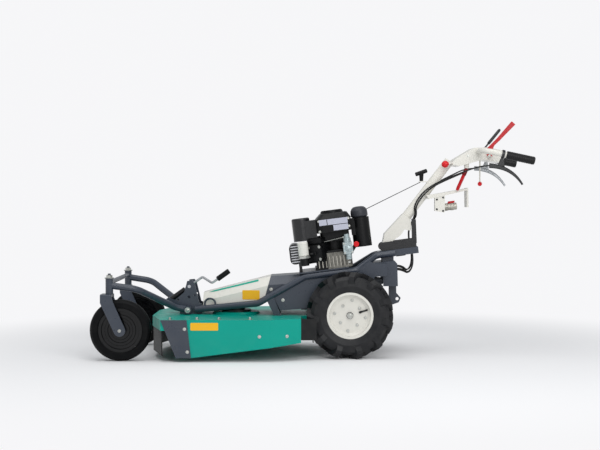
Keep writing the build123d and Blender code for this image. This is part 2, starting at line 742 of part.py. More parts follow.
flap_in = DECK_SHEET + SEAT_GAP + FLAP_SHEET / 2
flap_low_y = DECK_HALF - flap_in - 4
flap_nose_y = DECK_NOSE_HALF - 4
nose_slope = (DECK_NOSE_X - DECK_FRONT_X) / (DECK_HALF - DECK_NOSE_HALF)
flap_corner_x = DECK_FRONT_X + (DECK_HALF - flap_low_y) * nose_slope
tail_flap_x = DECK_TAIL_X - SEAT_GAP - FLAP_SHEET / 2
tail_flap_y = DECK_TAIL_HALF - FLAP_SHEET
with BuildPart() as flaps:
    with BuildSketch(Plane.XY.offset(FLAP_LOW)):
        with BuildLine():
            Polyline(
                (flap_corner_x - flap_in - 2, flap_low_y),
                (DECK_NOSE_X - flap_in, flap_nose_y),
                (DECK_NOSE_X - flap_in, -flap_nose_y),
                (flap_corner_x - flap_in - 2, -flap_low_y),
            )
        trace(line_width=FLAP_SHEET)
    extrude(amount=DECK_TOP - DECK_SHEET - SEAT_GAP - FLAP_LOW)
    with BuildSketch(Plane.XY.offset(SKIRT_BEND_Z)):
        with Locations((DECK_HEEL_X - SEAT_GAP - FLAP_SHEET / 2, 0)):
            Rectangle(FLAP_SHEET, 2 * DECK_HEEL_HALF)
    extrude(amount=DECK_TOP - SKIRT_BEND_Z)
    for side in (1, -1):
        with BuildSketch(Plane.XY.offset(TAIL_FLAP_LOW)):
            with BuildLine():
                Polyline(
                    (tail_flap_x, side * TAIL_FLAP_IN),
                    (tail_flap_x, side * tail_flap_y),
                    (TAIL_FLAP_REAR_X, side * tail_flap_y),
                )
            trace(line_width=FLAP_SHEET)
        extrude(amount=DECK_TOP - TAIL_FLAP_LOW)
keep(flaps.part, "deck_flaps")

# Blade spindle and rotor
housing_foot = DECK_TOP + DECK_BOSS_RISE + SEAT_GAP
with BuildPart() as spindle_housing:
    for level, radius, height in ((0, SPINDLE_HOUSING_R, 8), (8, 44, 26), (34, 56, 6)):
        with BuildSketch(Plane.XY.offset(housing_foot + level)):
            with Locations((BLADE_X, 0)):
                Circle(radius)
        extrude(amount=height)
    with BuildSketch(Plane.XY.offset(housing_foot)):
        with Locations((BLADE_X, 0)):
            Circle(BLADE_SHAFT_R + RUNNING_GAP)
    extrude(amount=30, mode=Mode.SUBTRACT)
keep(spindle_housing.part, "spindle_housing")


def blade_rotor():
    """Carrier bar on its shaft, with a swinging knife on top and below at each end."""
    knife_length, knife_width, knife = 130, 62, 5
    pin = BLADE_R - knife_length + 22
    with BuildPart() as rotor:
        with BuildSketch(Plane.XY.offset(BLADE_Z)):
            with Locations((BLADE_X, 0)):
                Rectangle(2 * pin + 60, BLADE_BAR_WIDTH)
                Circle(96)
        extrude(amount=BLADE_BAR)
        fillet(rotor.edges().filter_by(Axis.Z), radius=24)
        with BuildSketch(Plane.XY.offset(BLADE_Z - 16)):
            with Locations((BLADE_X, 0)):
                Circle(50)
        extrude(amount=16)
        with BuildSketch(Plane.XY.offset(BLADE_Z + BLADE_BAR)):
            with Locations((BLADE_X, 0)):
                Circle(34)
        extrude(amount=22)
        with BuildSketch(Plane.XY.offset(BLADE_Z)):
            with Locations((BLADE_X, 0)):
                Circle(BLADE_SHAFT_R)
        extrude(amount=housing_foot + 28 - BLADE_Z)
        for end in (1, -1):
            for level in (BLADE_Z - knife, BLADE_Z + BLADE_BAR):
                with BuildSketch(Plane.XY.offset(level)):
                    with Locations((BLADE_X + end * (BLADE_R - knife_length / 2), 0)):
                        Rectangle(knife_length, knife_width)
                extrude(amount=knife)
            with BuildSketch(Plane.XY.offset(BLADE_Z - knife - 12)):
                with Locations((BLADE_X + end * pin, 0)):
                    Circle(14)
            extrude(amount=BLADE_BAR + 2 * knife + 24)
    return rotor.part


keep(blade_rotor(), "blade_rotor")

# Belt hood and its rear cover: a flat top, a sloped facet along each side and upright flanks
HOOD_FOOT_FRONT, HOOD_FOOT_REAR = 229, 272
hood_seat_y = frame_front_y + (FRAME_FRONT_X - HOOD_FRONT_X) * FRAME_SPREAD
HOOD_FRONT_HALF = hood_seat_y - FRAME_TUBE_R * hypot(1, FRAME_SPREAD) - SEAT_GAP
COVER_HALF = HOOD_REAR_HALF - 0.5


def facet_block(sections, inset, drop):
    """A ruled form through sections of distance forward, half width, top and foot, drawn in by a wall."""
    with BuildPart() as block:
        for x, half, top, foot in sections:
            with BuildSketch(Plane(origin=(x, 0, 0), x_dir=(0, 1, 0), z_dir=(1, 0, 0))):
                with BuildLine():
                    Polyline(
                        (half - inset, foot - drop),
                        (half - inset, top - FACET_RISE - inset / 2),
                        (half - FACET_IN - inset / 2, top - inset),
                        (FACET_IN + inset / 2 - half, top - inset),
                        (inset - half, top - FACET_RISE - inset / 2),
                        (inset - half, foot - drop),
                        close=True,
                    )
                make_face()
        loft(ruled=True)
    return block.part


def hood_block(inset, drop):
    return facet_block(
        (
            (HOOD_FRONT_X - inset, HOOD_FRONT_HALF, HOOD_FRONT_TOP, HOOD_FOOT_FRONT),
            (HOOD_REAR_X, HOOD_REAR_HALF, HOOD_REAR_TOP, HOOD_FOOT_REAR),
        ),
        inset,
        drop,
    )


def belt_hood():
    outer, inner = hood_block(0, 0), hood_block(HOOD_SHEET, FACET_RISE)
    rear_edge = [
        (HOOD_REAR_X - 1, HOOD_REAR_TOP + FACET_RISE),
        (HOOD_REAR_X + 2, HOOD_REAR_TOP),
        (HOOD_REAR_X + HOOD_RAKE, HOOD_FOOT_REAR - 10),
        (HOOD_REAR_X - 1, HOOD_FOOT_REAR - 40),
        (HOOD_REAR_X - 40, HOOD_FOOT_REAR - 40),
        (HOOD_REAR_X - 40, HOOD_REAR_TOP + FACET_RISE),
    ]
    rake = side_plate(rear_edge, -HOOD_REAR_HALF - 10, HOOD_REAR_HALF + 10)
    with BuildPart() as hood:
        add(outer)
        add(inner, mode=Mode.SUBTRACT)
        add(rake, mode=Mode.SUBTRACT)
    return hood.part


keep(belt_hood(), "belt_hood")


def cover_block(inset, drop):
    """The rear cover's form: the hood's rear section carried back to the engine plate."""
    back = COVER_REAR_X + inset
    return facet_block(
        (
            (HOOD_REAR_X + HOOD_RAKE, COVER_HALF, HOOD_REAR_TOP, HOOD_FOOT_REAR - 10),
            (HOOD_REAR_X, COVER_HALF, HOOD_REAR_TOP, HOOD_FOOT_REAR - 10),
            (back, COVER_HALF, COVER_REAR_TOP, HOOD_FOOT_REAR - 10),
        ),
        inset,
        drop,
    )


def rear_belt_cover():
    """Folded cover that carries on from the hood to the engine plate, open in front and below."""
    outer, inner = cover_block(0, 0), cover_block(HOOD_SHEET, FACET_RISE)
    gap = SEAT_GAP + 0.2
    side_view = [
        (HOOD_REAR_X + 2 - gap, COVER_REAR_TOP + FACET_RISE),
        (HOOD_REAR_X + 2 - gap, HOOD_REAR_TOP),
        (HOOD_REAR_X + HOOD_RAKE - gap, HOOD_FOOT_REAR - 10),
        (HOOD_REAR_X - 30, HOOD_FOOT_REAR + 6),
        (COVER_REAR_X, HOOD_FOOT_REAR + 92),
        (COVER_REAR_X, COVER_REAR_TOP + FACET_RISE),
    ]
    kept = side_plate(side_view, -COVER_HALF, COVER_HALF)
    with BuildPart() as cover:
        add(outer)
        add(inner, mode=Mode.SUBTRACT)
        add(kept, mode=Mode.INTERSECT)
    return cover.part


keep(rear_belt_cover(), "rear_belt_cover")


def hood_stripes():
    """Tapered trim stripe along the upper edge of each facet, laid on its surface."""
    low_front = Vector(HOOD_FRONT_X, HOOD_FRONT_HALF, HOOD_FRONT_TOP - FACET_RISE)
    low_rear = Vector(HOOD_REAR_X, HOOD_REAR_HALF, HOOD_REAR_TOP - FACET_RISE)
    up_facet = Vector(0, -FACET_IN, FACET_RISE)
    outward = up_facet.cross(low_front - low_rear).normalized()
    rear, front, taper, proud = 60, 314, 26, 1.2
    middle = -up_facet.length + 8
    with BuildPart() as stripes:
        with BuildSketch(Plane(low_rear + outward * SEAT_GAP, x_dir=low_front - low_rear, z_dir=outward)):
            with BuildLine():
                Polyline(
                    (rear, middle - 5),
                    (front - taper, middle - 4),
                    (front, middle),
                    (front - taper, middle + 4),
                    (rear, middle + 5),
                    close=True,
                )
            make_face()
        extrude(amount=proud)
        mirror(about=Plane.XZ)
    return stripes.part


keep(hood_stripes(), "hood_stripes")

# Gearbox with axle housings, a belt pulley on top and a finned drive unit behind
HOUSING_R = 32


def transmission():
    case_profile = [
        (REAR_AXLE_X + 72, 176),
        (REAR_AXLE_X + 84, 250),
        (REAR_AXLE_X + 64, 352),
        (REAR_AXLE_X - 50, 372),
        (REAR_AXLE_X - 78, 300),
        (REAR_AXLE_X - 66, 176),
        (REAR_AXLE_X - 30, 146),
        (REAR_AXLE_X + 36, 146),
    ]
    case_half = 62
    case = side_plate(case_profile, -case_half, case_half)
    unit_profile = [
        (REAR_AXLE_X - 60, 268),
        (REAR_AXLE_X - 156, 276),
        (REAR_AXLE_X - 164, 372),
        (REAR_AXLE_X - 60, 384),
    ]
    unit = side_plate(unit_profile, -52, 96)
    housing_end = REAR_Y + DISC_OUT - SEAT_GAP - HUB_FLANGE_THICKNESS - 17
    housing = straight_bar(
        (REAR_AXLE_X, -housing_end, TYRE_R), (REAR_AXLE_X, housing_end, TYRE_R), HOUSING_R
    )
    with BuildPart() as gearbox:
        add(case)
        fillet(gearbox.edges().filter_by(Axis.Y), radius=12)
        add(housing)
        add(unit)
        for z in range(284, 376, 16):
            with BuildSketch(Plane.XY.offset(z)):
                with Locations((REAR_AXLE_X - 112, 22)):
                    Rectangle(112, 168)
            extrude(amount=6)
        for side in (1, -1):
            for y in (case_half, case_half + 34):
                with BuildSketch(Plane.XZ.offset(-max(side * y, side * (y + 14)))):
                    with Locations((REAR_AXLE_X, TYRE_R)):
                        Circle(HOUSING_R + 16)
                extrude(amount=14)
        with BuildSketch(Plane.XY.offset(352)):
            with Locations((REAR_AXLE_X + 6, 0)):
                Circle(44)
        extrude(amount=24)
        with BuildSketch(Plane.XZ.offset(-housing_end)):
            with Locations((REAR_AXLE_X, TYRE_R)):
                Circle(AXLE_R + RUNNING_GAP)
        extrude(amount=housing_end - AXLE_INNER_Y + 1, mode=Mode.SUBTRACT)
        with BuildSketch(Plane.XZ.offset(housing_end)):
            with Locations((REAR_AXLE_X, TYRE_R)):
                Circle(AXLE_R + RUNNING_GAP)
        extrude(amount=AXLE_INNER_Y - 1 - housing_end, mode=Mode.SUBTRACT)
        tie = FRAME_HALF - SIDE_PLATE / 2 - SEAT_GAP
        for x, z in ((REAR_AXLE_X + 40, 320), (REAR_AXLE_X - 20, 330)):
            with BuildSketch(Plane.XZ.offset(-tie)):
                with Locations((x, z)):
                    Circle(13)
            extrude(amount=2 * tie)
    return gearbox.part


keep(transmission(), "transmission")

# Rear guard with the lower bracket and its tow eye
GUARD_FRONT_X, GUARD_BACK_X = -296, -413
GUARD_TOP_Z, GUARD_LOW_Z = 462, 338
GUARD_HALF = 118
GUARD_SHEET = 4
TOW_X, TOW_Z, TOW_R = -421, 268, 8


def rear_guard():
    """Folded tail cover, open in front and below, on a bracket that ends in the tow eye."""
    corner = (GUARD_FRONT_X + GUARD_BACK_X) / 2
    outer = side_plate(
        [
            (GUARD_FRONT_X, GUARD_TOP_Z - 10),
            (GUARD_BACK_X + 12, GUARD_TOP_Z),
            (GUARD_BACK_X, GUARD_TOP_Z - 14),
            (GUARD_BACK_X - 3, GUARD_LOW_Z),
            (corner + 10, GUARD_LOW_Z),
            (corner + 10, GUARD_LOW_Z + 66),
            (GUARD_FRONT_X, GUARD_LOW_Z + 74),
        ],
        -GUARD_HALF,
        GUARD_HALF,
    )
    inner = side_plate(
        [
            (GUARD_FRONT_X + 20, GUARD_TOP_Z - 10 - 2 * GUARD_SHEET),
            (GUARD_BACK_X + 12 + GUARD_SHEET, GUARD_TOP_Z - GUARD_SHEET),
            (GUARD_BACK_X + GUARD_SHEET, GUARD_TOP_Z - 16),
            (GUARD_BACK_X + GUARD_SHEET - 3, GUARD_LOW_Z - 20),
            (GUARD_FRONT_X + 20, GUARD_LOW_Z - 20),
        ],
        GUARD_SHEET - GUARD_HALF,
        GUARD_HALF - GUARD_SHEET,
    )
    eye_plate = side_plate(
        [
            (GUARD_BACK_X + GUARD_SHEET + 30, GUARD_LOW_Z + 60),
            (GUARD_BACK_X - 2, GUARD_LOW_Z + 60),
            (GUARD_BACK_X - 4, TOW_Z + 30),
            (TOW_X - 18, TOW_Z + 4),
            (TOW_X - 8, TOW_Z - 18),
            (GUARD_BACK_X + 24, TOW_Z - 32),
            (GUARD_BACK_X + 34, TOW_Z),
        ],
        -5,
        5,
    )
    seat = -SUPPORT_DEPTH - SEAT_GAP
    tab_front, tab_rear = on_swivel(96, 0, seat), on_swivel(40, 0, seat)
    tab_foot = GUARD_TOP_Z - 14
    tab = side_plate(
        [
            (tab_front.X, tab_front.Z),
            (tab_rear.X, tab_rear.Z),
            (tab_rear.X, tab_foot),
            (tab_front.X, tab_foot),
        ],
        SUPPORT_HALF - 6,
        SUPPORT_HALF,
    )
    with BuildPart() as guard:
        add(outer)
        add(inner, mode=Mode.SUBTRACT)
        add(eye_plate)
        add(tab)
        add(mirrored(tab))
        with BuildSketch(Plane.XZ.offset(-5)):
            with Locations((TOW_X, TOW_Z)):
                Circle(TOW_R)
        extrude(amount=10, mode=Mode.SUBTRACT)
    return guard.part


keep(rear_guard(), "rear_guard")

# Engine, built square to its tilted plate
engine_run = Vector(ENGINE_REAR_X - ENGINE_FRONT_X, 0, ENGINE_REAR_Z - ENGINE_FRONT_Z)
ENGINE_FORWARD = (engine_run * -1).normalized()
ENGINE_UP = Vector(-ENGINE_FORWARD.Z, 0, ENGINE_FORWARD.X)
ENGINE_FOOT = (
    Vector((ENGINE_FRONT_X + ENGINE_REAR_X) / 2, 0, (ENGINE_FRONT_Z + ENGINE_REAR_Z) / 2)
    + ENGINE_UP * (FRAME_TUBE_R + SEAT_GAP)
)
ENGINE = Plane(ENGINE_FOOT, x_dir=ENGINE_FORWARD, z_dir=ENGINE_UP)


PLATE_FRONT, PLATE_REAR = 150, -92
with BuildPart() as engine_plate:
    with BuildSketch(ENGINE):
        with Locations(((PLATE_FRONT + PLATE_REAR) / 2, 0)):
            Rectangle(PLATE_FRONT - PLATE_REAR, 2 * FRAME_HALF + 24)
    extrude(amount=ENGINE_PLATE)
keep(engine_plate.part, "engine_plate")

BLOCK = ENGINE.offset(ENGINE_PLATE + SEAT_GAP)


def on_block(forward, left, up):
    """A point given forward, left and up from the engine's foot."""
    return BLOCK.from_local_coords((forward, left, up))


CASE_FRONT, CASE_REAR, CASE_HALF, CASE_TOP = 60, -105, 126, 88
BARREL_R, BARREL_LIFT, BARREL_SPLAY = 36, 84, 60
FIN_HALF = 44
TOWER_U, TOWER_R, TOWER_TOP = -40, 80, 132
FILTER_U, FILTER_V, FILTER_R, FILTER_FOOT, FILTER_TOP = 117, 154, 25, 80, 147
CANISTER_U, CANISTER_V, CANISTER_R, CANISTER_FOOT, CANISTER_TOP = 113, 96, 44, 150, 262
NECK_U, NECK_IN, NECK_OUT, NECK_W, NECK_R = -143, 104, 128, 104, 11


def engine_block():
    """Crankcase with ribs, two finned cylinders splayed forward, and the oil filter's foot."""
    filter_arm = straight_bar(on_block(40, 90, 52), on_block(FILTER_U, FILTER_V, 52), 16)
    filler_top = on_block(NECK_U, NECK_IN + 8, NECK_W)
    filler = straight_bar(on_block(CASE_REAR + 9, NECK_IN, 44), filler_top, NECK_R - 2)
    mouth = straight_bar(on_block(NECK_U, NECK_IN, NECK_W), on_block(NECK_U, NECK_OUT, NECK_W), NECK_R)
    with BuildPart() as block:
        with BuildSketch(BLOCK):
            with Locations(((CASE_FRONT + CASE_REAR) / 2, 0)):
                Rectangle(CASE_FRONT - CASE_REAR + 16, 2 * CASE_HALF + 16)
        extrude(amount=10)
        with BuildSketch(BLOCK):
            with Locations(((CASE_FRONT + CASE_REAR) / 2, 0)):
                Rectangle(CASE_FRONT - CASE_REAR, 2 * CASE_HALF)
        extrude(amount=CASE_TOP)
        for forward in range(CASE_REAR + 14, CASE_FRONT, 19):
            with BuildSketch(BLOCK):
                with Locations((forward, 0)):
                    Rectangle(6, 2 * CASE_HALF + 14)
            extrude(amount=CASE_TOP - 10)
        with BuildSketch(BLOCK):
            with Locations((TOWER_U, 0)):
                Circle(TOWER_R)
        extrude(amount=TOWER_TOP)
        for side in (1, -1):
            splay = radians(BARREL_SPLAY)
            outward = BLOCK.x_dir * cos(splay) + Vector(0, side * sin(splay), 0)
            middle = on_block(-20, 0, BARREL_LIFT)
            with BuildSketch(Plane(middle, x_dir=BLOCK.z_dir, z_dir=outward)):
                Circle(BARREL_R)
            extrude(amount=150)
            for out in range(92, 150, 9):
                with BuildSketch(Plane(middle + outward * out, x_dir=BLOCK.z_dir, z_dir=outward)):
                    Rectangle(2 * FIN_HALF, 2 * FIN_HALF)
                extrude(amount=4)
            with BuildSketch(Plane(middle + outward * 148, x_dir=BLOCK.z_dir, z_dir=outward)):
                RectangleRounded(2 * FIN_HALF - 8, 2 * FIN_HALF - 8, 12)
            extrude(amount=22)
        add(filter_arm)
        with BuildSketch(BLOCK.offset(30)):
            with Locations((FILTER_U, FILTER_V)):
                Circle(FILTER_R - 4)
        extrude(amount=FILTER_FOOT - 30)
        add(filler)
        add(mouth)
    return block.part


keep(engine_block(), "engine_block")

with BuildPart() as oil_filter:
    with BuildSketch(BLOCK.offset(FILTER_FOOT + SEAT_GAP)):
        with Locations((FILTER_U, FILTER_V)):
            Circle(FILTER_R)
    extrude(amount=FILTER_TOP - FILTER_FOOT)
    fillet(oil_filter.faces().sort_by(Axis.Z)[-1].edges(), radius=6)
keep(oil_filter.part, "oil_filter")

with BuildPart() as oil_cap:
    with BuildSketch(Plane(on_block(NECK_U, NECK_OUT + SEAT_GAP, NECK_W), z_dir=(0, 1, 0))):
        Circle(NECK_R + 3)
    extrude(amount=14)
    fillet(oil_cap.faces().sort_by(Axis.Y)[-1].edges(), radius=4)
keep(oil_cap.part, "oil_cap")

SHROUD_FRONT, SHROUD_REAR, SHROUD_HALF = 40, -131, 170
SHROUD_FOOT, SHROUD_EDGE, SHROUD_TOP = 178, 244, 268


def engine_shroud():
    """Blower housing: a neck on the crankcase, a wide rounded cowl and the starter's dome on top."""
    middle = (SHROUD_FRONT + SHROUD_REAR) / 2
    length = SHROUD_FRONT - SHROUD_REAR
    with BuildPart() as shroud:
        with BuildSketch(BLOCK.offset(SHROUD_FOOT)):
            with Locations((middle, 0)):
                RectangleRounded(length, 2 * SHROUD_HALF, 30)
        extrude(amount=SHROUD_EDGE - SHROUD_FOOT)
        with BuildSketch(BLOCK.offset(SHROUD_EDGE)):
            with Locations((middle, 0)):
                RectangleRounded(length, 2 * SHROUD_HALF, 30)
        with BuildSketch(BLOCK.offset(SHROUD_TOP)):
            with Locations((middle - 6, 0)):
                RectangleRounded(length - 40, 2 * SHROUD_HALF - 50, 24)
        loft(ruled=True)
        with BuildSketch(BLOCK.offset(TOWER_TOP + SEAT_GAP)):
            with Locations((middle, 0)):
                RectangleRounded(length - 30, 2 * SHROUD_HALF - 90, 20)
        extrude(amount=SHROUD_FOOT - TOWER_TOP - SEAT_GAP)
        with BuildSketch(BLOCK.offset(SHROUD_TOP)):
            with Locations((middle, 0)):
                Circle(58)
        extrude(amount=12, taper=20)
    return shroud.part


keep(engine_shroud(), "engine_shroud")

with BuildPart() as engine_panels:
    for rear, front, low, high in ((-122, 33, 214, 242), (-122, -34, 184, 211)):
        with BuildSketch(Plane(BLOCK.from_local_coords((0, SHROUD_HALF + SEAT_GAP + 4, 0)),
                               x_dir=BLOCK.x_dir, z_dir=(0, -1, 0))):
            with Locations(((rear + front) / 2, (low + high) / 2)):
                Rectangle(front - rear - 16, high - low)
        extrude(amount=4)
keep(engine_panels.part, "engine_panels")

CARB_U, CARB_V = -100, CASE_HALF + 7 + SEAT_GAP
with BuildPart() as carburettor:
    flank = Plane(BLOCK.from_local_coords((0, CARB_V + 44, 0)), x_dir=BLOCK.x_dir, z_dir=(0, -1, 0))
    with BuildSketch(flank):
        with Locations((CARB_U, 92)):
            Rectangle(46, 56)
    extrude(amount=44)
    for level, radius, height in ((36, 15, 30), (118, 18, 22), (140, 13, 20)):
        with BuildSketch(BLOCK.offset(level)):
            with Locations((CARB_U, CARB_V + 22)):
                Circle(radius)
        extrude(amount=height)
keep(carburettor.part, "carburettor")

CLEANER_U, CLEANER_V, CLEANER_R, CLEANER_FOOT, CLEANER_TOP = -178, 62, 45, 87, 231
with BuildPart() as air_cleaner:
    with BuildSketch(BLOCK.offset(CLEANER_FOOT)):
        with Locations((CLEANER_U, CLEANER_V)):
            Circle(CLEANER_R)
    extrude(amount=CLEANER_TOP - CLEANER_FOOT)
    with BuildSketch(BLOCK.offset(SHROUD_FOOT - 30)):
        with Locations(((CLEANER_U + SHROUD_REAR - SEAT_GAP) / 2, CLEANER_V)):
            Rectangle(SHROUD_REAR - SEAT_GAP - CLEANER_U, 70)
    extrude(amount=CLEANER_TOP - SHROUD_FOOT + 30)
keep(air_cleaner.part, "air_cleaner")

CAP_R = 42
with BuildPart() as air_cleaner_cap:
    with BuildSketch(BLOCK.offset(CLEANER_TOP + SEAT_GAP)):
        with Locations((CLEANER_U, CLEANER_V)):
            Circle(CAP_R)
    extrude(amount=26)
    with BuildSketch(BLOCK.offset(CLEANER_TOP + 26 + SEAT_GAP)):
        with Locations((CLEANER_U, CLEANER_V)):
            Circle(CAP_R - 3)
    extrude(amount=28)
    fillet(air_cleaner_cap.faces().sort_by(Axis.Z)[-1].edges(), radius=22)
keep(air_cleaner_cap.part, "air_cleaner_cap")

with BuildPart() as breather_canister:
    with BuildSketch(BLOCK.offset(CANISTER_FOOT)):
        with Locations((CANISTER_U, CANISTER_V)):
            Circle(CANISTER_R)
    extrude(amount=CANISTER_TOP - CANISTER_FOOT)
    fillet(breather_canister.faces().sort_by(Axis.Z)[-1].edges(), radius=8)
    with BuildSketch(BLOCK.offset(CANISTER_FOOT + 10)):
        with Locations(((CANISTER_U + SHROUD_FRONT + SEAT_GAP) / 2, CANISTER_V)):
            Rectangle(CANISTER_U - SHROUD_FRONT - SEAT_GAP, 2 * CANISTER_R - 8)
    extrude(amount=CANISTER_TOP - CANISTER_FOOT - 26)
keep(breather_canister.part, "breather_canister")


def muffler():
    """Rounded silencer across the front of the engine on two legs, with a pipe to each cylinder."""
    rear, front, half, low, high = 132, 186, 112, 40, 140
    flank = Plane(BLOCK.from_local_coords((0, half, 0)), x_dir=BLOCK.x_dir, z_dir=(0, -1, 0))
    with BuildPart() as can:
        with BuildSketch(flank):
            with Locations(((rear + front) / 2, (low + high) / 2)):
                RectangleRounded(front - rear, high - low, 24)
        extrude(amount=2 * half)
        for left in (-70, 70):
            with BuildSketch(BLOCK):
                with Locations((rear + 8, left)):
                    Rectangle(14, 24)
            extrude(amount=low + 10)
        outlet_foot = BLOCK.from_local_coords(((rear + front) / 2, -half - 40, 64))
        outlet = Plane(outlet_foot, x_dir=BLOCK.x_dir, z_dir=(0, 1, 0))
        with BuildSketch(outlet):
            Circle(14)
        extrude(amount=41)
        with BuildSketch(outlet):
            Circle(11)
        extrude(amount=38, mode=Mode.SUBTRACT)
    return can.part


keep(muffler(), "muffler")

# Handle support, swivel base and column
def handle_support():
    """Channel open below, with the swivel's bush through it."""
    wall = 5
    middle = (SUPPORT_FRONT + SUPPORT_REAR) / 2
    with BuildPart() as support:
        with BuildSketch(SWIVEL.offset(-SUPPORT_DEPTH)):
            with Locations((middle, 0)):
                Rectangle(SUPPORT_FRONT - SUPPORT_REAR, 2 * SUPPORT_HALF)
        extrude(amount=SUPPORT_DEPTH)
        with BuildSketch(SWIVEL.offset(-SUPPORT_DEPTH)):
            with Locations((middle, 0)):
                Rectangle(SUPPORT_FRONT - SUPPORT_REAR - 2 * wall, 2 * (SUPPORT_HALF - wall))
        extrude(amount=SUPPORT_DEPTH - wall, mode=Mode.SUBTRACT)
        with BuildSketch(SWIVEL.offset(-SUPPORT_DEPTH)):
            Circle(SWIVEL_R + 10)
        extrude(amount=SUPPORT_DEPTH)
        with BuildSketch(SWIVEL.offset(-SUPPORT_DEPTH)):
            Circle(SWIVEL_R + RUNNING_GAP)
        extrude(amount=SUPPORT_DEPTH, mode=Mode.SUBTRACT)
    return support.part


keep(handle_support(), "handle_support")

COLUMN_FOOT = Vector(-374, 0, 558)
COLUMN_HEAD = Vector(-690, 0, 967)
COLUMN_UP = (COLUMN_HEAD - COLUMN_FOOT).normalized()
COLUMN_BACK = Vector(-COLUMN_UP.Z, 0, COLUMN_UP.X)
COLUMN_R = 24
GRIP_STEM = Vector(-541, 0, 854)
BASE_REAR = -80
PIVOT_U, PIVOT_W = 83, 23


def on_column(along, back, left):
    """A point given up along the column, back from its axis and to the left."""
    return COLUMN_FOOT + COLUMN_UP * along + COLUMN_BACK * back + Vector(0, left, 0)


def handle_base():
    """Swivel channel open above, with the pin and its washer below and the brace for the column."""
    brace_low = on_swivel(-72, 0, 26)
    with BuildPart() as base:
        with BuildSketch(swivel_flank(BASE_HALF)):
            with Locations(((BASE_REAR + PIVOT_U) / 2, SEAT_GAP + BASE_HEIGHT / 2)):
                Rectangle(PIVOT_U - BASE_REAR, BASE_HEIGHT)
            with Locations((PIVOT_U, SEAT_GAP + BASE_HEIGHT / 2)):
                Circle(BASE_HEIGHT / 2)
        extrude(amount=2 * BASE_HALF)
        with BuildSketch(SWIVEL.offset(BASE_WALL)):
            Rectangle(400, 2 * (BASE_HALF - BASE_WALL))
        extrude(amount=2 * BASE_HEIGHT, mode=Mode.SUBTRACT)
        with BuildSketch(SWIVEL.offset(-SUPPORT_DEPTH - SEAT_GAP)):
            Circle(SWIVEL_R)
        extrude(amount=SUPPORT_DEPTH + BASE_WALL)
        with BuildSketch(SWIVEL.offset(-SUPPORT_DEPTH - SEAT_GAP)):
            Circle(SWIVEL_R + 8)
        extrude(amount=-5)
        with BuildSketch(Plane.XZ.offset(-BASE_HALF)):
            with BuildLine():
                Polyline(
                    (brace_low.X + 12, brace_low.Z - 8),
                    (brace_low.X - 12, brace_low.Z - 8),
                    (-510, 664),
                    (-488, 668),
                    close=True,
                )
            make_face()
        extrude(amount=BASE_WALL)
        with BuildSketch(swivel_flank(BASE_HALF)):
            with Locations((PIVOT_U, PIVOT_W)):
                Circle(8)
        extrude(amount=2 * BASE_HALF)
    return base.part


keep(handle_base(), "handle_base")


def handle_column():
    """Leaning tube on a gusset foot that hangs on the pivot pin, with the brace lug and the rope's eye."""
    pivot = on_swivel(PIVOT_U, 0, PIVOT_W)
    foot_half = BASE_HALF - BASE_WALL - 1
    knee = on_column(150, -COLUMN_R, 0)
    heel = on_column(60, COLUMN_R + 8, 0)
    toe = on_column(16, -COLUMN_R - 12, 0)
    lug = on_column(118, COLUMN_R + 28, 0)
    lug_top = on_column(150, COLUMN_R, 0)
    lug_low = on_column(90, COLUMN_R, 0)
    lug_plate = side_plate(
        [(lug_low.X, lug_low.Z), (lug.X, lug.Z - 12), (lug.X, lug.Z + 14), (lug_top.X, lug_top.Z)],
        8,
        BASE_HALF - BASE_WALL - SEAT_GAP,
    )
    fork_top = GRIP_STEM.Z - SEAT_GAP
    fork_front = GRIP_STEM.X + 12
    fork_rear = GRIP_STEM.X - 40
    fork_low = fork_top - 5
    fork = side_plate(
        [(fork_front, fork_low), (fork_front, fork_top), (fork_rear, fork_top), (fork_rear, fork_low)],
        -11,
        11,
    )
    fork_slot = side_plate(
        [
            (fork_front + 1, fork_top - 9),
            (fork_front + 1, fork_top + 1),
            (GRIP_STEM.X - 8, fork_top + 1),
            (GRIP_STEM.X - 8, fork_top - 9),
        ],
        -ROPE_R - 2,
        ROPE_R + 2,
    )
    tube = straight_bar(on_column(24, 0, 0), on_column(500, 0, 0), COLUMN_R)
    with BuildPart() as column:
        add(tube)
        with BuildSketch(Plane.XZ.offset(-foot_half)):
            with BuildLine():
                Polyline(
                    (toe.X, toe.Z),
                    (knee.X, knee.Z),
                    (on_column(150, COLUMN_R, 0).X, on_column(150, COLUMN_R, 0).Z),
                    (heel.X, heel.Z),
                    (pivot.X - 20, pivot.Z + 6),
                    (pivot.X + 8, pivot.Z - 8),
                    close=True,
                )
            make_face()
            with Locations((pivot.X, pivot.Z)):
                Circle(13)
        extrude(amount=2 * foot_half)
        add(lug_plate)
        add(fork)
        add(fork_slot, mode=Mode.SUBTRACT)
        with BuildSketch(Plane.XZ.offset(-foot_half)):
            with Locations((pivot.X, pivot.Z)):
                Circle(8 + RUNNING_GAP)
        extrude(amount=2 * foot_half, mode=Mode.SUBTRACT)
    return column.part


keep(handle_column(), "handle_column")

HEAD_HALF = 98
KNOB_Y, KNOB_R = 60, 17.5
KNOB = Vector(-652, KNOB_Y, 936)
KNOB_SEAT = KNOB_R + SEAT_GAP
THROTTLE_Y, THROTTLE_R = -20, 11
THROTTLE = Vector(-835, THROTTLE_Y, 840)
BRAKE_TOP = Vector(-756, 76, 916)


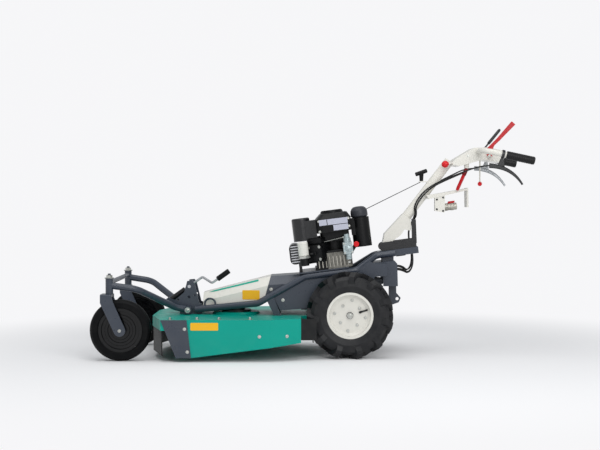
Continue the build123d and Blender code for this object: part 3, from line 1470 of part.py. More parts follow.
def handle_head():
    """Moulded control head on the column's top, sunk where the tube enters."""
    outline = [
        (-676, 934), (-700, 962), (-790, 1016), (-858, 1018),
        (-950, 998), (-930, 944), (-834, 958), (-722, 926),
    ]
    block = side_plate(outline, -HEAD_HALF, HEAD_HALF)
    socket = straight_bar(on_column(24, 0, 0), on_column(501, 0, 0), COLUMN_R + SEAT_GAP)
    rod_foot = Vector(-704, KNOB_Y, 944)
    shift_rod = straight_bar(rod_foot, KNOB - (KNOB - rod_foot).normalized() * KNOB_SEAT, 5)
    throttle_rod = straight_bar((-835, THROTTLE_Y, 962), THROTTLE + Vector(0, 0, THROTTLE_R + SEAT_GAP), 3.5)
    brake_boss = straight_bar((BRAKE_TOP.X, BRAKE_TOP.Y, 952), BRAKE_TOP + Vector(0, 0, SEAT_GAP), 12)
    with BuildPart() as head:
        add(block)
        fillet(head.edges().filter_by(Axis.Y), radius=9)
        add(socket, mode=Mode.SUBTRACT)
        add(shift_rod)
        add(throttle_rod)
        add(brake_boss)
    return head.part


keep(handle_head(), "handle_head")

grip_run = (Vector(GRIP_END[0], 0, GRIP_END[1]) - Vector(GRIP_START[0], 0, GRIP_START[1])).normalized()
grip_start = Vector(GRIP_START[0], GRIP_Y, GRIP_START[1])
grip_length = hypot(GRIP_END[0] - GRIP_START[0], GRIP_END[1] - GRIP_START[1])
bar_knee = grip_start - grip_run * 110
left = round_bar(
    [
        (bar_knee.X, HEAD_HALF + SEAT_GAP, bar_knee.Z),
        bar_knee,
        grip_start + grip_run * (grip_length - 8),
    ],
    70,
    BAR_R,
)
keep(left, "handlebar_left")
keep(mirrored(left), "handlebar_right")

with BuildPart() as grips:
    with BuildSketch(Plane(grip_start, z_dir=grip_run)):
        Circle(GRIP_R)
    extrude(amount=grip_length)
    fillet(grips.edges(), radius=5)
    with BuildSketch(Plane(grip_start, z_dir=grip_run)):
        Circle(BAR_R + SEAT_GAP)
    extrude(amount=grip_length - 8 + SEAT_GAP, mode=Mode.SUBTRACT)
    mirror(about=Plane.XZ)
keep(grips.part, "handle_grips")


LEVER_NOSE = Vector(-840, GRIP_Y, 924)


def clutch_levers():
    """Hand lever hanging from a perch on the bar in front of each grip."""
    bar = straight_bar(bar_knee, grip_start, BAR_R + SEAT_GAP)
    perch = grip_start - grip_run * 22
    with BuildPart() as lever:
        with BuildSketch(Plane(perch, z_dir=grip_run)):
            Circle(BAR_R + 7)
        extrude(amount=14)
        with BuildSketch(Plane.XZ.offset(-GRIP_Y - 7)):
            with BuildLine():
                Polyline(
                    (perch.X + 4, perch.Z), (LEVER_NOSE.X, LEVER_NOSE.Z), (-862, 908), (-930, 868),
                    (-992, 826), (-1002, 836), (-940, 882), (-884, 926), (perch.X - 14, perch.Z - 4),
                    close=True,
                )
            make_face()
        extrude(amount=14)
        add(bar, mode=Mode.SUBTRACT)
        mirror(about=Plane.XZ)
    return lever.part


keep(clutch_levers(), "clutch_levers")


def hand_lever(root, tip, half_root, half_tip, y_low, y_high):
    """Flat lever that narrows from a round boss at its root to a round end."""
    lean = atan2(tip[1] - root[1], tip[0] - root[0])
    across = (-sin(lean), cos(lean))
    with BuildPart() as lever:
        with BuildSketch(Plane.XZ.offset(-y_high)):
            with BuildLine():
                Polyline(
                    (root[0] + across[0] * half_root, root[1] + across[1] * half_root),
                    (tip[0] + across[0] * half_tip, tip[1] + across[1] * half_tip),
                    (tip[0] - across[0] * half_tip, tip[1] - across[1] * half_tip),
                    (root[0] - across[0] * half_root, root[1] - across[1] * half_root),
                    close=True,
                )
            make_face()
            with Locations(root):
                Circle(half_root)
            with Locations(tip):
                Circle(half_tip)
        extrude(amount=y_high - y_low)
    return lever.part


lever_in = HEAD_HALF + SEAT_GAP
keep(hand_lever((-863, 972), (-978, 1138), 13, 8, lever_in, lever_in + 12), "safety_lever")
keep(hand_lever((-848, 994), (-948, 1116), 11, 7, -lever_in - 12, -lever_in), "drive_lever")

brake_lever = round_bar([BRAKE_TOP, BRAKE_TOP - Vector(0, 0, 40), (-709, BRAKE_TOP.Y, 807)], 20, 8)
with BuildPart() as red_controls:
    add(brake_lever)
    with Locations(KNOB):
        Sphere(KNOB_R)
    with Locations(THROTTLE):
        Sphere(THROTTLE_R)
keep(red_controls.part, "red_controls")


def control_tray():
    """Shelf behind the column with the switch box under it and an upright lip at its end."""
    column = straight_bar(on_column(100, 0, 0), on_column(450, 0, 0), COLUMN_R + SEAT_GAP)
    with BuildPart() as tray:
        add(side_plate([(-560, 784), (-572, 764), (-764, 808), (-764, 818), (-610, 790)], -62, 62))
        add(side_plate([(-603, 776), (-652, 790), (-652, 698), (-603, 706)], 16, 60))
        add(side_plate([(-760, 820), (-768, 820), (-770, 724), (-762, 724)], -50, 50))
        with BuildSketch(Plane((-651, 38, 724), z_dir=(-1, 0, 0.1))):
            Circle(17)
        extrude(amount=60)
        add(column, mode=Mode.SUBTRACT)
    return tray.part


keep(control_tray(), "control_tray")

with BuildPart() as starter_grip:
    with BuildSketch(Plane(GRIP_STEM)):
        Circle(9)
    extrude(amount=44, taper=-4)
    with BuildSketch(Plane(GRIP_STEM + Vector(30, 0, 32), z_dir=(-57, 0, 20))):
        Circle(10)
    extrude(amount=62)
    fillet(starter_grip.faces().filter_by(Plane((0, 0, 0), z_dir=(-57, 0, 20))).edges(), radius=5)
keep(starter_grip.part, "starter_grip")

rope_start = on_block(SHROUD_REAR - 1, 0, 236)
rope_end = GRIP_STEM - Vector(0, 0, ROPE_R + 2 * SEAT_GAP)
keep(straight_bar(rope_start, rope_end, ROPE_R), "starter_rope")

# Control cables: a bunch up the back of the column, and slack loops from the support to the tail
cable_end = LEVER_NOSE.X + SEAT_GAP
cable_runs = (
    (-30, 30, -25, -6, -31, [(-716, -130, 890), (-790, -GRIP_Y, 921), (cable_end, -GRIP_Y, LEVER_NOSE.Z)]),
    (-18, 28, 26, -10, 31, [(-716, 130, 890), (-790, GRIP_Y, 921), (cable_end, GRIP_Y, LEVER_NOSE.Z)]),
    (-6, 36, 34, 0, 31, [(-700, 31, 876), (-760, 31, 900), (-760, 31, 935)]),
)
with BuildPart() as handle_cables:
    for start, turn_back, turn_left, back, lane, ends in cable_runs:
        with BuildLine():
            run = FilletPolyline(
                on_swivel(-52, start, BASE_WALL + SEAT_GAP),
                on_column(96, COLUMN_R + 28, start),
                on_column(150, COLUMN_R + 16, start),
                on_column(186, turn_back, turn_left),
                on_column(220, back, lane),
                on_column(330, back, lane),
                *ends,
                radius=12,
            )
        with BuildSketch(Plane(run @ 0, z_dir=run % 0)):
            Circle(CABLE_R)
        sweep()
keep(handle_cables.part, "handle_cables")

guard_lean = 3 / (GUARD_TOP_Z - 14 - GUARD_LOW_Z)
loop_runs = ((-38, -500, 402, 428), (-20, -508, 390, 412), (16, -504, 396, 420), (36, -496, 408, 436))
with BuildPart() as cable_loops:
    for left, back, low, end in loop_runs:
        seat = GUARD_BACK_X - guard_lean * (GUARD_TOP_Z - 14 - end) - 2 * SEAT_GAP
        with BuildLine():
            run = FilletPolyline(
                on_swivel(-56, left, -SUPPORT_DEPTH / 2),
                (back, left, 452),
                (back + 26, left, low),
                (seat - 28, left, end),
                (seat, left, end),
                radius=12,
            )
        with BuildSketch(Plane(run @ 0, z_dir=run % 0)):
            Circle(CABLE_R)
        sweep()
keep(cable_loops.part, "cable_loops")

os.makedirs("parts", exist_ok=True)
for name, part in PARTS.items():
    export_step(part, f"parts/{name}.step")
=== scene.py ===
import json
from math import cos, pi, radians, sin

import bmesh
import bpy
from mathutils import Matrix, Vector


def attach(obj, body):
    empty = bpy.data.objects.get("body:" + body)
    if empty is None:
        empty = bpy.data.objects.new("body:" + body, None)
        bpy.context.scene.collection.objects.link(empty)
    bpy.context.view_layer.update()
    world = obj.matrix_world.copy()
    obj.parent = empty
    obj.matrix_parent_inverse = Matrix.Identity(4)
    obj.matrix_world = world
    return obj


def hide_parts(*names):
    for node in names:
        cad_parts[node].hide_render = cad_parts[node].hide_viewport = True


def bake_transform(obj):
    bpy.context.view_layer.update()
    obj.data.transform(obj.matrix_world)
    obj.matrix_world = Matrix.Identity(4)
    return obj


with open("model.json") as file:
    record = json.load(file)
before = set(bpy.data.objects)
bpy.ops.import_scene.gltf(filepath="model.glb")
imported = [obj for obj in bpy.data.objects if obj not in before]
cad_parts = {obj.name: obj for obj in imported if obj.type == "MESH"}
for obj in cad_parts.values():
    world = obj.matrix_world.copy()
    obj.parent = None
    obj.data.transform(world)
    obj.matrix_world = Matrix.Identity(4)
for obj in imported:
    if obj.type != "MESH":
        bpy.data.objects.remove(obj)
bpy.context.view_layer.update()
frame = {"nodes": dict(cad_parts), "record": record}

# Walk-behind mulching mower. Lengths in tables are in millimetres, as in the part's source.
MM = 0.001
scene = bpy.context.scene
scene.view_settings.view_transform = "Standard"


def at(x, y, z):
    """A point in metres from millimetres."""
    return Vector((x, y, z)) * MM


def srgb(code):
    """A linear colour from a six-digit screen colour."""
    parts = [int(code[i:i + 2], 16) / 255 for i in (0, 2, 4)]
    linear = [c / 12.92 if c < 0.04045 else ((c + 0.055) / 1.055) ** 2.4 for c in parts]
    return (*linear, 1.0)


SIDES = ((1, "left"), (-1, "right"))
LEFT, UP = Vector((0, 1, 0)), Vector((0, 0, 1))
RIM_CHAMFER = 0.8

# Places on the tilted engine, the leaning column and the swivel, in millimetres
ENGINE_FORWARD, ENGINE_UP = Vector((0.9923, 0, -0.1240)), Vector((0.1240, 0, 0.9923))
ENGINE_FOOT = Vector((-82.2, 0, 423.93))
COLUMN_UP, COLUMN_BACK = Vector((-0.6114, 0, 0.7913)), Vector((-0.7913, 0, -0.6114))
COLUMN_FOOT = Vector((-374, 0, 558))
SWIVEL_FORWARD, SWIVEL_UP = Vector((0.99144, 0, -0.13053)), Vector((0.13053, 0, 0.99144))
SWIVEL_PIN = Vector((-435, 0, 519))


def on_engine(forward, left, up):
    return ENGINE_FOOT + ENGINE_FORWARD * forward + LEFT * left + ENGINE_UP * up


def on_column(along, back, left):
    return COLUMN_FOOT + COLUMN_UP * along + COLUMN_BACK * back + LEFT * left


def on_swivel(forward, left, up):
    return SWIVEL_PIN + SWIVEL_FORWARD * forward + LEFT * left + SWIVEL_UP * up


# Camera at the photograph's place, looking a little down
CAMERA_PLACE = (0.063, 6.32, 0.76)
CAMERA_DIP = 1.13
CAMERA_LENS, CAMERA_SENSOR = 76.14, 36
camera_data = bpy.data.cameras.new("photo_camera")
camera_data.lens = CAMERA_LENS
camera_data.sensor_width = CAMERA_SENSOR
camera = bpy.data.objects.new("photo_camera", camera_data)
camera.location = CAMERA_PLACE
camera.rotation_euler = (radians(90 - CAMERA_DIP), 0, pi)
scene.collection.objects.link(camera)
scene.camera = camera


def put(tree, kind, sockets=None, **settings):
    """Adds a node with its settings, then sets or links its inputs by name or number."""
    node = tree.nodes.new(kind)
    for name, value in settings.items():
        setattr(node, name, value)
    for name, value in (sockets or {}).items():
        if isinstance(value, bpy.types.NodeSocket):
            tree.links.new(value, node.inputs[name])
        else:
            node.inputs[name].default_value = value
    return node


def linked(obj):
    """Puts an object in the scene."""
    scene.collection.objects.link(obj)
    return obj


def fresh_material(name):
    """A material and its tree, still empty."""
    made = bpy.data.materials.new(name)
    made.use_nodes = True
    made.node_tree.nodes.clear()
    return made, made.node_tree


# Studio: white surroundings, a pale floor that keeps the shadow, two soft lamps
PAPER = (0.925, 0.925, 0.94, 1.0)
world = bpy.data.worlds.new("studio")
world.use_nodes = True
scene.world = world
sky = world.node_tree
sky.nodes.clear()
ray = put(sky, "ShaderNodeLightPath").outputs
seen = put(sky, "ShaderNodeMath", {0: ray["Is Camera Ray"], 1: ray["Is Transmission Ray"]},
           operation="MAXIMUM")
plain = put(sky, "ShaderNodeBackground", {"Color": PAPER, "Strength": 1.0})
soft = put(sky, "ShaderNodeBackground", {"Color": (0.96, 0.98, 1.0, 1.0), "Strength": 0.55})
either = put(sky, "ShaderNodeMixShader", {0: seen.outputs[0], 1: soft.outputs[0], 2: plain.outputs[0]})
put(sky, "ShaderNodeOutputWorld", {"Surface": either.outputs[0]})

floor_mesh = bpy.data.meshes.new("studio_floor")
FLOOR_HALF = 30
corners = [(sx * FLOOR_HALF, sy * FLOOR_HALF, 0) for sx, sy in ((-1, -1), (1, -1), (1, 1), (-1, 1))]
floor_mesh.from_pydata(corners, [], [(0, 1, 2, 3)])
floor = linked(bpy.data.objects.new("studio_floor", floor_mesh))
paper, tree = fresh_material("studio_paper")
spot = put(tree, "ShaderNodeTexCoord").outputs["Object"]
far = put(tree, "ShaderNodeVectorMath", {0: spot}, operation="LENGTH").outputs["Value"]
FADE_START, FADE_END = 1.2, 2.6
fade = put(tree, "ShaderNodeMapRange", {"Value": far, "From Min": FADE_START, "From Max": FADE_END},
           interpolation_type="SMOOTHSTEP")
matt = put(tree, "ShaderNodeBsdfDiffuse", {"Color": (0.86, 0.86, 0.87, 1.0)})
glow = put(tree, "ShaderNodeEmission", {"Color": PAPER, "Strength": 1.0})
ground = put(tree, "ShaderNodeMixShader", {0: fade.outputs[0], 1: matt.outputs[0], 2: glow.outputs[0]})
put(tree, "ShaderNodeOutputMaterial", {"Surface": ground.outputs[0]})
floor_mesh.materials.append(paper)

LAMPS = (
    # name, place, aimed at, size, watts
    ("top_softbox", (0.4, 1.2, 4.2), (0.0, 0.0, 0.4), 3.6, 74),
    ("side_softbox", (-1.6, 4.6, 2.6), (0.0, 0.2, 0.5), 3.0, 92),
)
for lamp_name, place, aim, size, watts in LAMPS:
    lamp_data = bpy.data.lights.new(lamp_name, "AREA")
    lamp_data.energy = watts
    lamp_data.size = size
    lamp = linked(bpy.data.objects.new(lamp_name, lamp_data))
    lamp.location = place
    lamp.rotation_euler = (Vector(aim) - Vector(place)).to_track_quat("-Z", "Y").to_euler()


# Shader groups: each puts out a colour, a roughness and a height that change over the surface
def finish_group(name, inputs):
    tree = bpy.data.node_groups.new(name, "ShaderNodeTree")
    for label, kind, value in inputs:
        socket = tree.interface.new_socket(label, in_out="INPUT", socket_type="NodeSocket" + kind)
        socket.default_value = value
    for label, kind in (("Color", "Color"), ("Roughness", "Float"), ("Height", "Float")):
        tree.interface.new_socket(label, in_out="OUTPUT", socket_type="NodeSocket" + kind)
    given = put(tree, "NodeGroupInput").outputs
    spot = put(tree, "ShaderNodeTexCoord").outputs["Object"]
    return tree, given, spot


def noise(tree, spot, scale, detail=3.0):
    return put(tree, "ShaderNodeTexNoise", {"Vector": spot, "Scale": scale, "Detail": detail}).outputs["Fac"]


def band(tree, value, low, high, start=0.3, stop=0.7):
    """Maps a band of a value to a range."""
    sockets = {"Value": value, "From Min": start, "From Max": stop, "To Min": low, "To Max": high}
    return put(tree, "ShaderNodeMapRange", sockets).outputs["Result"]


def calc(tree, first, second, operation="ADD"):
    """One step of arithmetic on two values."""
    return put(tree, "ShaderNodeMath", {0: first, 1: second}, operation=operation).outputs[0]


def mixed(tree, share, first, second):
    return put(tree, "ShaderNodeMix", {0: share, 6: first, 7: second}, data_type="RGBA").outputs[2]


def toned(tree, colour, value):
    return put(tree, "ShaderNodeHueSaturation", {"Color": colour, "Value": value}).outputs["Color"]


def give(tree, colour, roughness, height):
    put(tree, "NodeGroupOutput", {"Color": colour, "Roughness": roughness, "Height": height})
    return tree


def painted_sheet():
    """Sprayed paint: faint clouds of tone, orange peel, and dust that thins out upwards."""
    tree, given, spot = finish_group("painted_sheet", (
        ("Paint", "Color", (0.5, 0.5, 0.5, 1)), ("Dust", "Color", (0.42, 0.4, 0.36, 1)),
        ("Clouds", "Float", 0.05), ("Peel", "Float", 420.0), ("Dust Top", "Float", 0.25),
        ("Dust Share", "Float", 0.1), ("Gloss", "Float", 0.3),
    ))
    low = calc(tree, given["Clouds"], -1.0, "MULTIPLY")
    cloud = calc(tree, band(tree, noise(tree, spot, 5.0, 4.0), low, given["Clouds"]), 1.0)
    height = put(tree, "ShaderNodeSeparateXYZ", {0: spot}).outputs["Z"]
    fall = band(tree, height, 1.0, 0.0, 0.0, given["Dust Top"])
    patch = calc(tree, fall, band(tree, noise(tree, spot, 17.0, 6.0), 0.0, 1.0, 0.38, 0.68), "MULTIPLY")
    dust = calc(tree, patch, given["Dust Share"], "MULTIPLY")
    colour = mixed(tree, dust, toned(tree, given["Paint"], cloud), given["Dust"])
    streak = band(tree, noise(tree, spot, 26.0), -0.06, 0.08)
    roughness = calc(tree, calc(tree, given["Gloss"], streak), calc(tree, dust, 0.6, "MULTIPLY"))
    peel = noise(tree, spot, given["Peel"], 2.0)
    return give(tree, colour, roughness, peel)


def cast_surface():
    """Sand-cast metal: a coarse grain, darker in its pits."""
    tree, given, spot = finish_group("cast_surface", (
        ("Metal", "Color", (0.4, 0.4, 0.4, 1)), ("Pits", "Color", (0.1, 0.1, 0.1, 1)),
        ("Grain", "Float", 260.0), ("Gloss", "Float", 0.45),
    ))
    grain = noise(tree, spot, given["Grain"], 5.0)
    stain = noise(tree, spot, 22.0, 5.0)
    shade = calc(tree, band(tree, grain, 0.0, 0.35, 0.62, 0.42), band(tree, stain, 0.0, 0.5, 0.5, 0.72))
    colour = mixed(tree, shade, given["Metal"], given["Pits"])
    roughness = calc(tree, given["Gloss"], band(tree, grain, -0.08, 0.16))
    return give(tree, colour, roughness, grain)


def rubber_skin():
    """Moulded rubber: matt, faintly mottled, with dry dust in patches."""
    tree, given, spot = finish_group("rubber_skin", (
        ("Rubber", "Color", (0.02, 0.02, 0.02, 1)), ("Dust", "Color", (0.2, 0.19, 0.17, 1)),
        ("Grain", "Float", 300.0), ("Dust Share", "Float", 0.2), ("Gloss", "Float", 0.55),
    ))
    patch = band(tree, noise(tree, spot, 24.0, 7.0), 0.0, 1.0, 0.42, 0.75)
    dust = calc(tree, patch, given["Dust Share"], "MULTIPLY")
    grain = noise(tree, spot, given["Grain"], 4.0)
    tone = band(tree, noise(tree, spot, 60.0), 0.85, 1.15)
    colour = mixed(tree, dust, toned(tree, given["Rubber"], tone), given["Dust"])
    roughness = calc(tree, calc(tree, given["Gloss"], band(tree, grain, -0.06, 0.12)), dust)
    return give(tree, colour, roughness, grain)


def drawn_metal():
    """Drawn or machined metal: fine lines along one direction, with light stains."""
    tree, given, spot = finish_group("drawn_metal", (
        ("Metal", "Color", (0.7, 0.7, 0.7, 1)), ("Stain", "Color", (0.3, 0.3, 0.3, 1)),
        ("Lines", "Vector", (400, 40, 400)), ("Gloss", "Float", 0.25),
    ))
    stretch = {"Vector": spot, "Scale": given["Lines"]}
    drawn = put(tree, "ShaderNodeMapping", stretch, vector_type="POINT").outputs[0]
    lines = noise(tree, drawn, 1.0, 2.0)
    stain = band(tree, noise(tree, spot, 35.0, 5.0), 0.0, 0.45, 0.5, 0.75)
    colour = mixed(tree, stain, toned(tree, given["Metal"], band(tree, lines, 0.88, 1.08)), given["Stain"])
    roughness = calc(tree, given["Gloss"], band(tree, lines, -0.05, 0.14))
    return give(tree, colour, roughness, lines)


def moulded_plastic():
    """Moulded plastic: a fine leathery grain and a faint flow of tone."""
    tree, given, spot = finish_group("moulded_plastic", (
        ("Plastic", "Color", (0.05, 0.05, 0.05, 1)), ("Grain", "Float", 620.0), ("Flow", "Float", 0.08),
        ("Gloss", "Float", 0.4),
    ))
    low = calc(tree, given["Flow"], -1.0, "MULTIPLY")
    tone = calc(tree, band(tree, noise(tree, spot, 9.0, 4.0), low, given["Flow"]), 1.0)
    cells = put(tree, "ShaderNodeTexVoronoi", {"Vector": spot, "Scale": given["Grain"]}).outputs["Distance"]
    roughness = calc(tree, given["Gloss"], band(tree, noise(tree, spot, 45.0), -0.05, 0.08))
    return give(tree, toned(tree, given["Plastic"], tone), roughness, cells)


PAINT, CAST, RUBBER = painted_sheet(), cast_surface(), rubber_skin()
DRAWN, PLASTIC = drawn_metal(), moulded_plastic()


def finish(name, group, values, bump, depth, **shader):
    """A material from one group with its own values. The constants sit on the shader."""
    made, tree = fresh_material(name)
    skin = put(tree, "ShaderNodeGroup", values, node_tree=group).outputs
    relief = put(tree, "ShaderNodeBump", {"Height": skin["Height"], "Strength": bump, "Distance": depth})
    sockets = {"Base Color": skin["Color"], "Roughness": skin["Roughness"], "Normal": relief.outputs[0]}
    for label, value in shader.items():
        sockets[label.replace("_", " ").title().replace("Ior", "IOR")] = value
    surface = put(tree, "ShaderNodeBsdfPrincipled", sockets)
    put(tree, "ShaderNodeOutputMaterial", {"Surface": surface.outputs[0]})
    return made


def paint(name, code, gloss, clouds=0.05, dust_share=0.05, dust_top=0.25, peel=420.0, shine=0.35):
    values = {"Paint": srgb(code), "Gloss": gloss, "Clouds": clouds, "Dust Share": dust_share,
              "Dust Top": dust_top, "Peel": peel}
    return finish(name, PAINT, values, 0.12, 0.0006, specular_ior_level=shine, coat_weight=0.06,
                  coat_roughness=0.1)


def plastic(name, code, gloss, grain=620.0, bump=0.2, flow=0.08, shine=0.5):
    values = {"Plastic": srgb(code), "Gloss": gloss, "Grain": grain, "Flow": flow}
    return finish(name, PLASTIC, values, bump, 0.0004, specular_ior_level=shine)


def rubber(name, code, dust_share, gloss=0.45, grain=300.0, shine=0.3):
    values = {"Rubber": srgb(code), "Dust Share": dust_share, "Gloss": gloss, "Grain": grain}
    return finish(name, RUBBER, values, 0.3, 0.0006, specular_ior_level=shine)


def metal(name, code, stain, lines, gloss):
    values = {"Metal": srgb(code), "Stain": srgb(stain), "Lines": lines, "Gloss": gloss}
    return finish(name, DRAWN, values, 0.1, 0.0002, metallic=1.0)


def casting(name, code, pits, gloss, metallic, grain=260.0):
    values = {"Metal": srgb(code), "Pits": srgb(pits), "Gloss": gloss, "Grain": grain}
    return finish(name, CAST, values, 0.4, 0.0008, metallic=metallic)


FINISH = {
    "frame_paint": paint("frame_slate", "343b47", 0.3, dust_share=0.04, dust_top=0.4, shine=0.5),
    "deck_green": paint("deck_green", "009b8a", 0.34, dust_share=0.03, dust_top=0.15, shine=0.18),
    "cream_paint": paint("cream_enamel", "dad8d0", 0.28, clouds=0.02, dust_share=0.03),
    "black_paint": paint("black_enamel", "121316", 0.3, dust_share=0.03, dust_top=0.3, shine=0.5),
    "white_paint": paint("white_enamel", "e0dfd8", 0.3, clouds=0.03),
    "stripe_green": paint("stripe_green", "12a38c", 0.3, dust_share=0.0, shine=0.2),
    "flap_rubber": rubber("flap_rubber", "0e0f11", 0.04),
    "tyre_rubber": rubber("tyre_rubber", "17181b", 0.05, gloss=0.4),
    "grip_rubber": rubber("grip_rubber", "121214", 0.02, gloss=0.42, grain=500.0),
    "rope_black": rubber("sheath_black", "0f1012", 0.02, gloss=0.36, grain=700.0),
    "cast_metal": casting("gearbox_iron", "3a3e44", "141517", 0.42, 0.45),
    "cast_alloy": casting("engine_alloy", "7f888c", "2b3033", 0.36, 0.7, grain=320.0),
    "black_plastic": plastic("cowl_black", "08090b", 0.34, shine=0.22),
    "grey_panel": paint("panel_grey", "b2b4c2", 0.4, clouds=0.03, dust_share=0.0),
    "grey_plastic": plastic("cap_grey", "33353b", 0.4, grain=420.0, shine=0.3),
    "red_plastic": plastic("control_red", "d4101c", 0.24, grain=300.0, bump=0.06, shine=0.35),
    "bright_steel": metal("bright_steel", "c9cbce", "77787a", (500, 40, 500), 0.24),
    "dark_steel": metal("dark_steel", "6c6e72", "2c2c2d", (90, 90, 700), 0.34),
}
CASTOR_RUBBER = rubber("castor_rubber", "060709", 0.02, gloss=0.5, shine=0.12)
CASTOR_RIM = paint("castor_black", "050608", 0.18, clouds=0.02, dust_share=0.01, shine=0.3)
CARB_ALLOY = casting("carb_alloy", "b4c2c5", "46565a", 0.3, 0.6, grain=170.0)
RIB_ALLOY = casting("rib_alloy", "b9b6ac", "5a564d", 0.34, 0.6, grain=240.0)
SILVER = metal("lever_silver", "a6a9ac", "77797b", (40, 40, 90), 0.26)
ZINC = metal("zinc_plate", "c6c7c2", "8c8878", (220, 220, 220), 0.3)
BLACK_OXIDE = metal("black_oxide", "3a3b3e", "161617", (220, 220, 220), 0.38)
PLATE_YELLOW = paint("plate_yellow", "eeb415", 0.42, clouds=0.03, dust_share=0.05)
DARK_RED = plastic("sleeve_dark_red", "6d0710", 0.45, grain=240.0, shine=0.25)
LACQUER_RED = plastic("lever_red", "b40b16", 0.22, grain=260.0, bump=0.05, shine=0.3)


def two_tone_casting(name, low, high, front_edge, top_edge):
    """Bare alloy on the engine, painted above a level and ahead of a line, both in metres from its foot."""
    made, tree = fresh_material(name)
    alloy = put(tree, "ShaderNodeGroup", low, node_tree=CAST).outputs
    dark = put(tree, "ShaderNodeGroup", high, node_tree=PAINT).outputs
    spot = put(tree, "ShaderNodeTexCoord").outputs["Object"]
    foot = ENGINE_FOOT * MM
    from_foot = put(tree, "ShaderNodeVectorMath", {0: spot, 1: foot}, operation="SUBTRACT").outputs[0]
    steps = []
    for axis, edge in ((ENGINE_UP, top_edge), (ENGINE_FORWARD, front_edge)):
        pair = {0: from_foot, 1: axis}
        along = put(tree, "ShaderNodeVectorMath", pair, operation="DOT_PRODUCT").outputs["Value"]
        steps.append(band(tree, along, 0.0, 1.0, edge, edge + 0.002))
    share = calc(tree, *steps, "MAXIMUM")
    colour = mixed(tree, share, alloy["Color"], dark["Color"])
    rough = put(tree, "ShaderNodeMix", {0: share, 2: alloy["Roughness"], 3: dark["Roughness"]}).outputs[0]
    relief = put(tree, "ShaderNodeBump", {"Height": alloy["Height"], "Strength": 0.4, "Distance": 0.0008})
    bare = calc(tree, calc(tree, 1.0, share, "SUBTRACT"), 0.6, "MULTIPLY")
    surface = put(tree, "ShaderNodeBsdfPrincipled", {
        "Base Color": colour, "Roughness": rough, "Normal": relief.outputs[0], "Metallic": bare,
        "Specular IOR Level": 0.25,
    })
    put(tree, "ShaderNodeOutputMaterial", {"Surface": surface.outputs[0]})
    return made


BLOCK_FINISH = two_tone_casting(
    "engine_two_tone",
    {"Metal": srgb("8f8d86"), "Pits": srgb("34322e"), "Gloss": 0.36, "Grain": 240.0},
    {"Paint": srgb("0c0d0f"), "Gloss": 0.4, "Dust Share": 0.03},
    front_edge=0.004,
    top_edge=0.076,
)
NODE_FINISH = {"handle_base": FINISH["black_paint"], "engine_block": BLOCK_FINISH, "carburettor": CARB_ALLOY}
for _, word in SIDES:
    NODE_FINISH["caster_tyre_" + word] = CASTOR_RUBBER
    NODE_FINISH["caster_rim_" + word] = CASTOR_RIM
node_slot = {row["node"]: row["material_slot"] for row in frame["record"]["subparts"]}
for node_name, node in frame["nodes"].items():
    node.data.materials.clear()
    node.data.materials.append(NODE_FINISH.get(node_name, FINISH[node_slot[node_name]]))


# Geometry Nodes trees
def shape_tree(name, sizes):
    """A tree with a host mesh, named sizes and a finish as inputs. Returns it with its input sockets."""
    tree = bpy.data.node_groups.new(name, "GeometryNodeTree")
    tree.interface.new_socket("Host", in_out="INPUT", socket_type="NodeSocketGeometry")
    for label, kind in sizes:
        tree.interface.new_socket(label, in_out="INPUT", socket_type="NodeSocket" + kind)
    tree.interface.new_socket("Finish", in_out="INPUT", socket_type="NodeSocketMaterial")
    tree.interface.new_socket("Shape", in_out="OUTPUT", socket_type="NodeSocketGeometry")
    return tree, put(tree, "NodeGroupInput").outputs


def close_tree(tree, given, shape):
    """Ends a tree: real geometry, with its finish."""
    real = put(tree, "GeometryNodeRealizeInstances", {0: shape}).outputs[0]
    coated = put(tree, "GeometryNodeSetMaterial", {"Geometry": real, "Material": given["Finish"]}).outputs[0]
    put(tree, "NodeGroupOutput", {0: coated})
    return tree


def lifted(tree, shape, z):
    """Moves a shape up by a socket's value."""
    up = put(tree, "ShaderNodeCombineXYZ", {"Z": z}).outputs[0]
    return put(tree, "GeometryNodeTransform", {"Geometry": shape, "Translation": up}).outputs[0]


def joined(tree, *shapes):
    node = put(tree, "GeometryNodeJoinGeometry")
    for shape in reversed(shapes):
        tree.links.new(shape, node.inputs[0])
    return node.outputs[0]


def scaled(tree, value, factor):
    return calc(tree, value, factor, "MULTIPLY")


def cylinder(tree, sides, radius, depth):
    sockets = {"Vertices": sides, "Radius": radius, "Depth": depth}
    return put(tree, "GeometryNodeMeshCylinder", sockets).outputs["Mesh"]


def bolt_tree():
    """A hexagon head with a chamfered crown on a washer, set on each host point along its facing."""
    tree, given = shape_tree("bolt_heads", (
        ("Head Radius", "Float"), ("Head Height", "Float"),
        ("Washer Radius", "Float"), ("Washer Height", "Float"),
    ))
    washer = cylinder(tree, 20, given["Washer Radius"], given["Washer Height"])
    washer = lifted(tree, washer, scaled(tree, given["Washer Height"], 0.5))
    head = cylinder(tree, 6, given["Head Radius"], given["Head Height"])
    middle = scaled(tree, given["Head Height"], 0.5)
    head = lifted(tree, head, calc(tree, middle, given["Washer Height"]))
    crown = put(tree, "GeometryNodeMeshCone", {
        "Vertices": 12,
        "Radius Top": scaled(tree, given["Head Radius"], 0.6),
        "Radius Bottom": scaled(tree, given["Head Radius"], 0.84),
        "Depth": scaled(tree, given["Head Height"], 0.18),
    }).outputs["Mesh"]
    crown = lifted(tree, crown, calc(tree, given["Head Height"], given["Washer Height"]))
    facing = put(tree, "GeometryNodeInputNamedAttribute", {"Name": "facing"}, data_type="FLOAT_VECTOR")
    turn = put(tree, "FunctionNodeAlignRotationToVector", {"Vector": facing.outputs[0]}, axis="Z").outputs[0]
    placed = put(tree, "GeometryNodeInstanceOnPoints", {
        "Points": given["Host"], "Instance": joined(tree, washer, head, crown), "Rotation": turn,
    }).outputs[0]
    return close_tree(tree, given, placed)


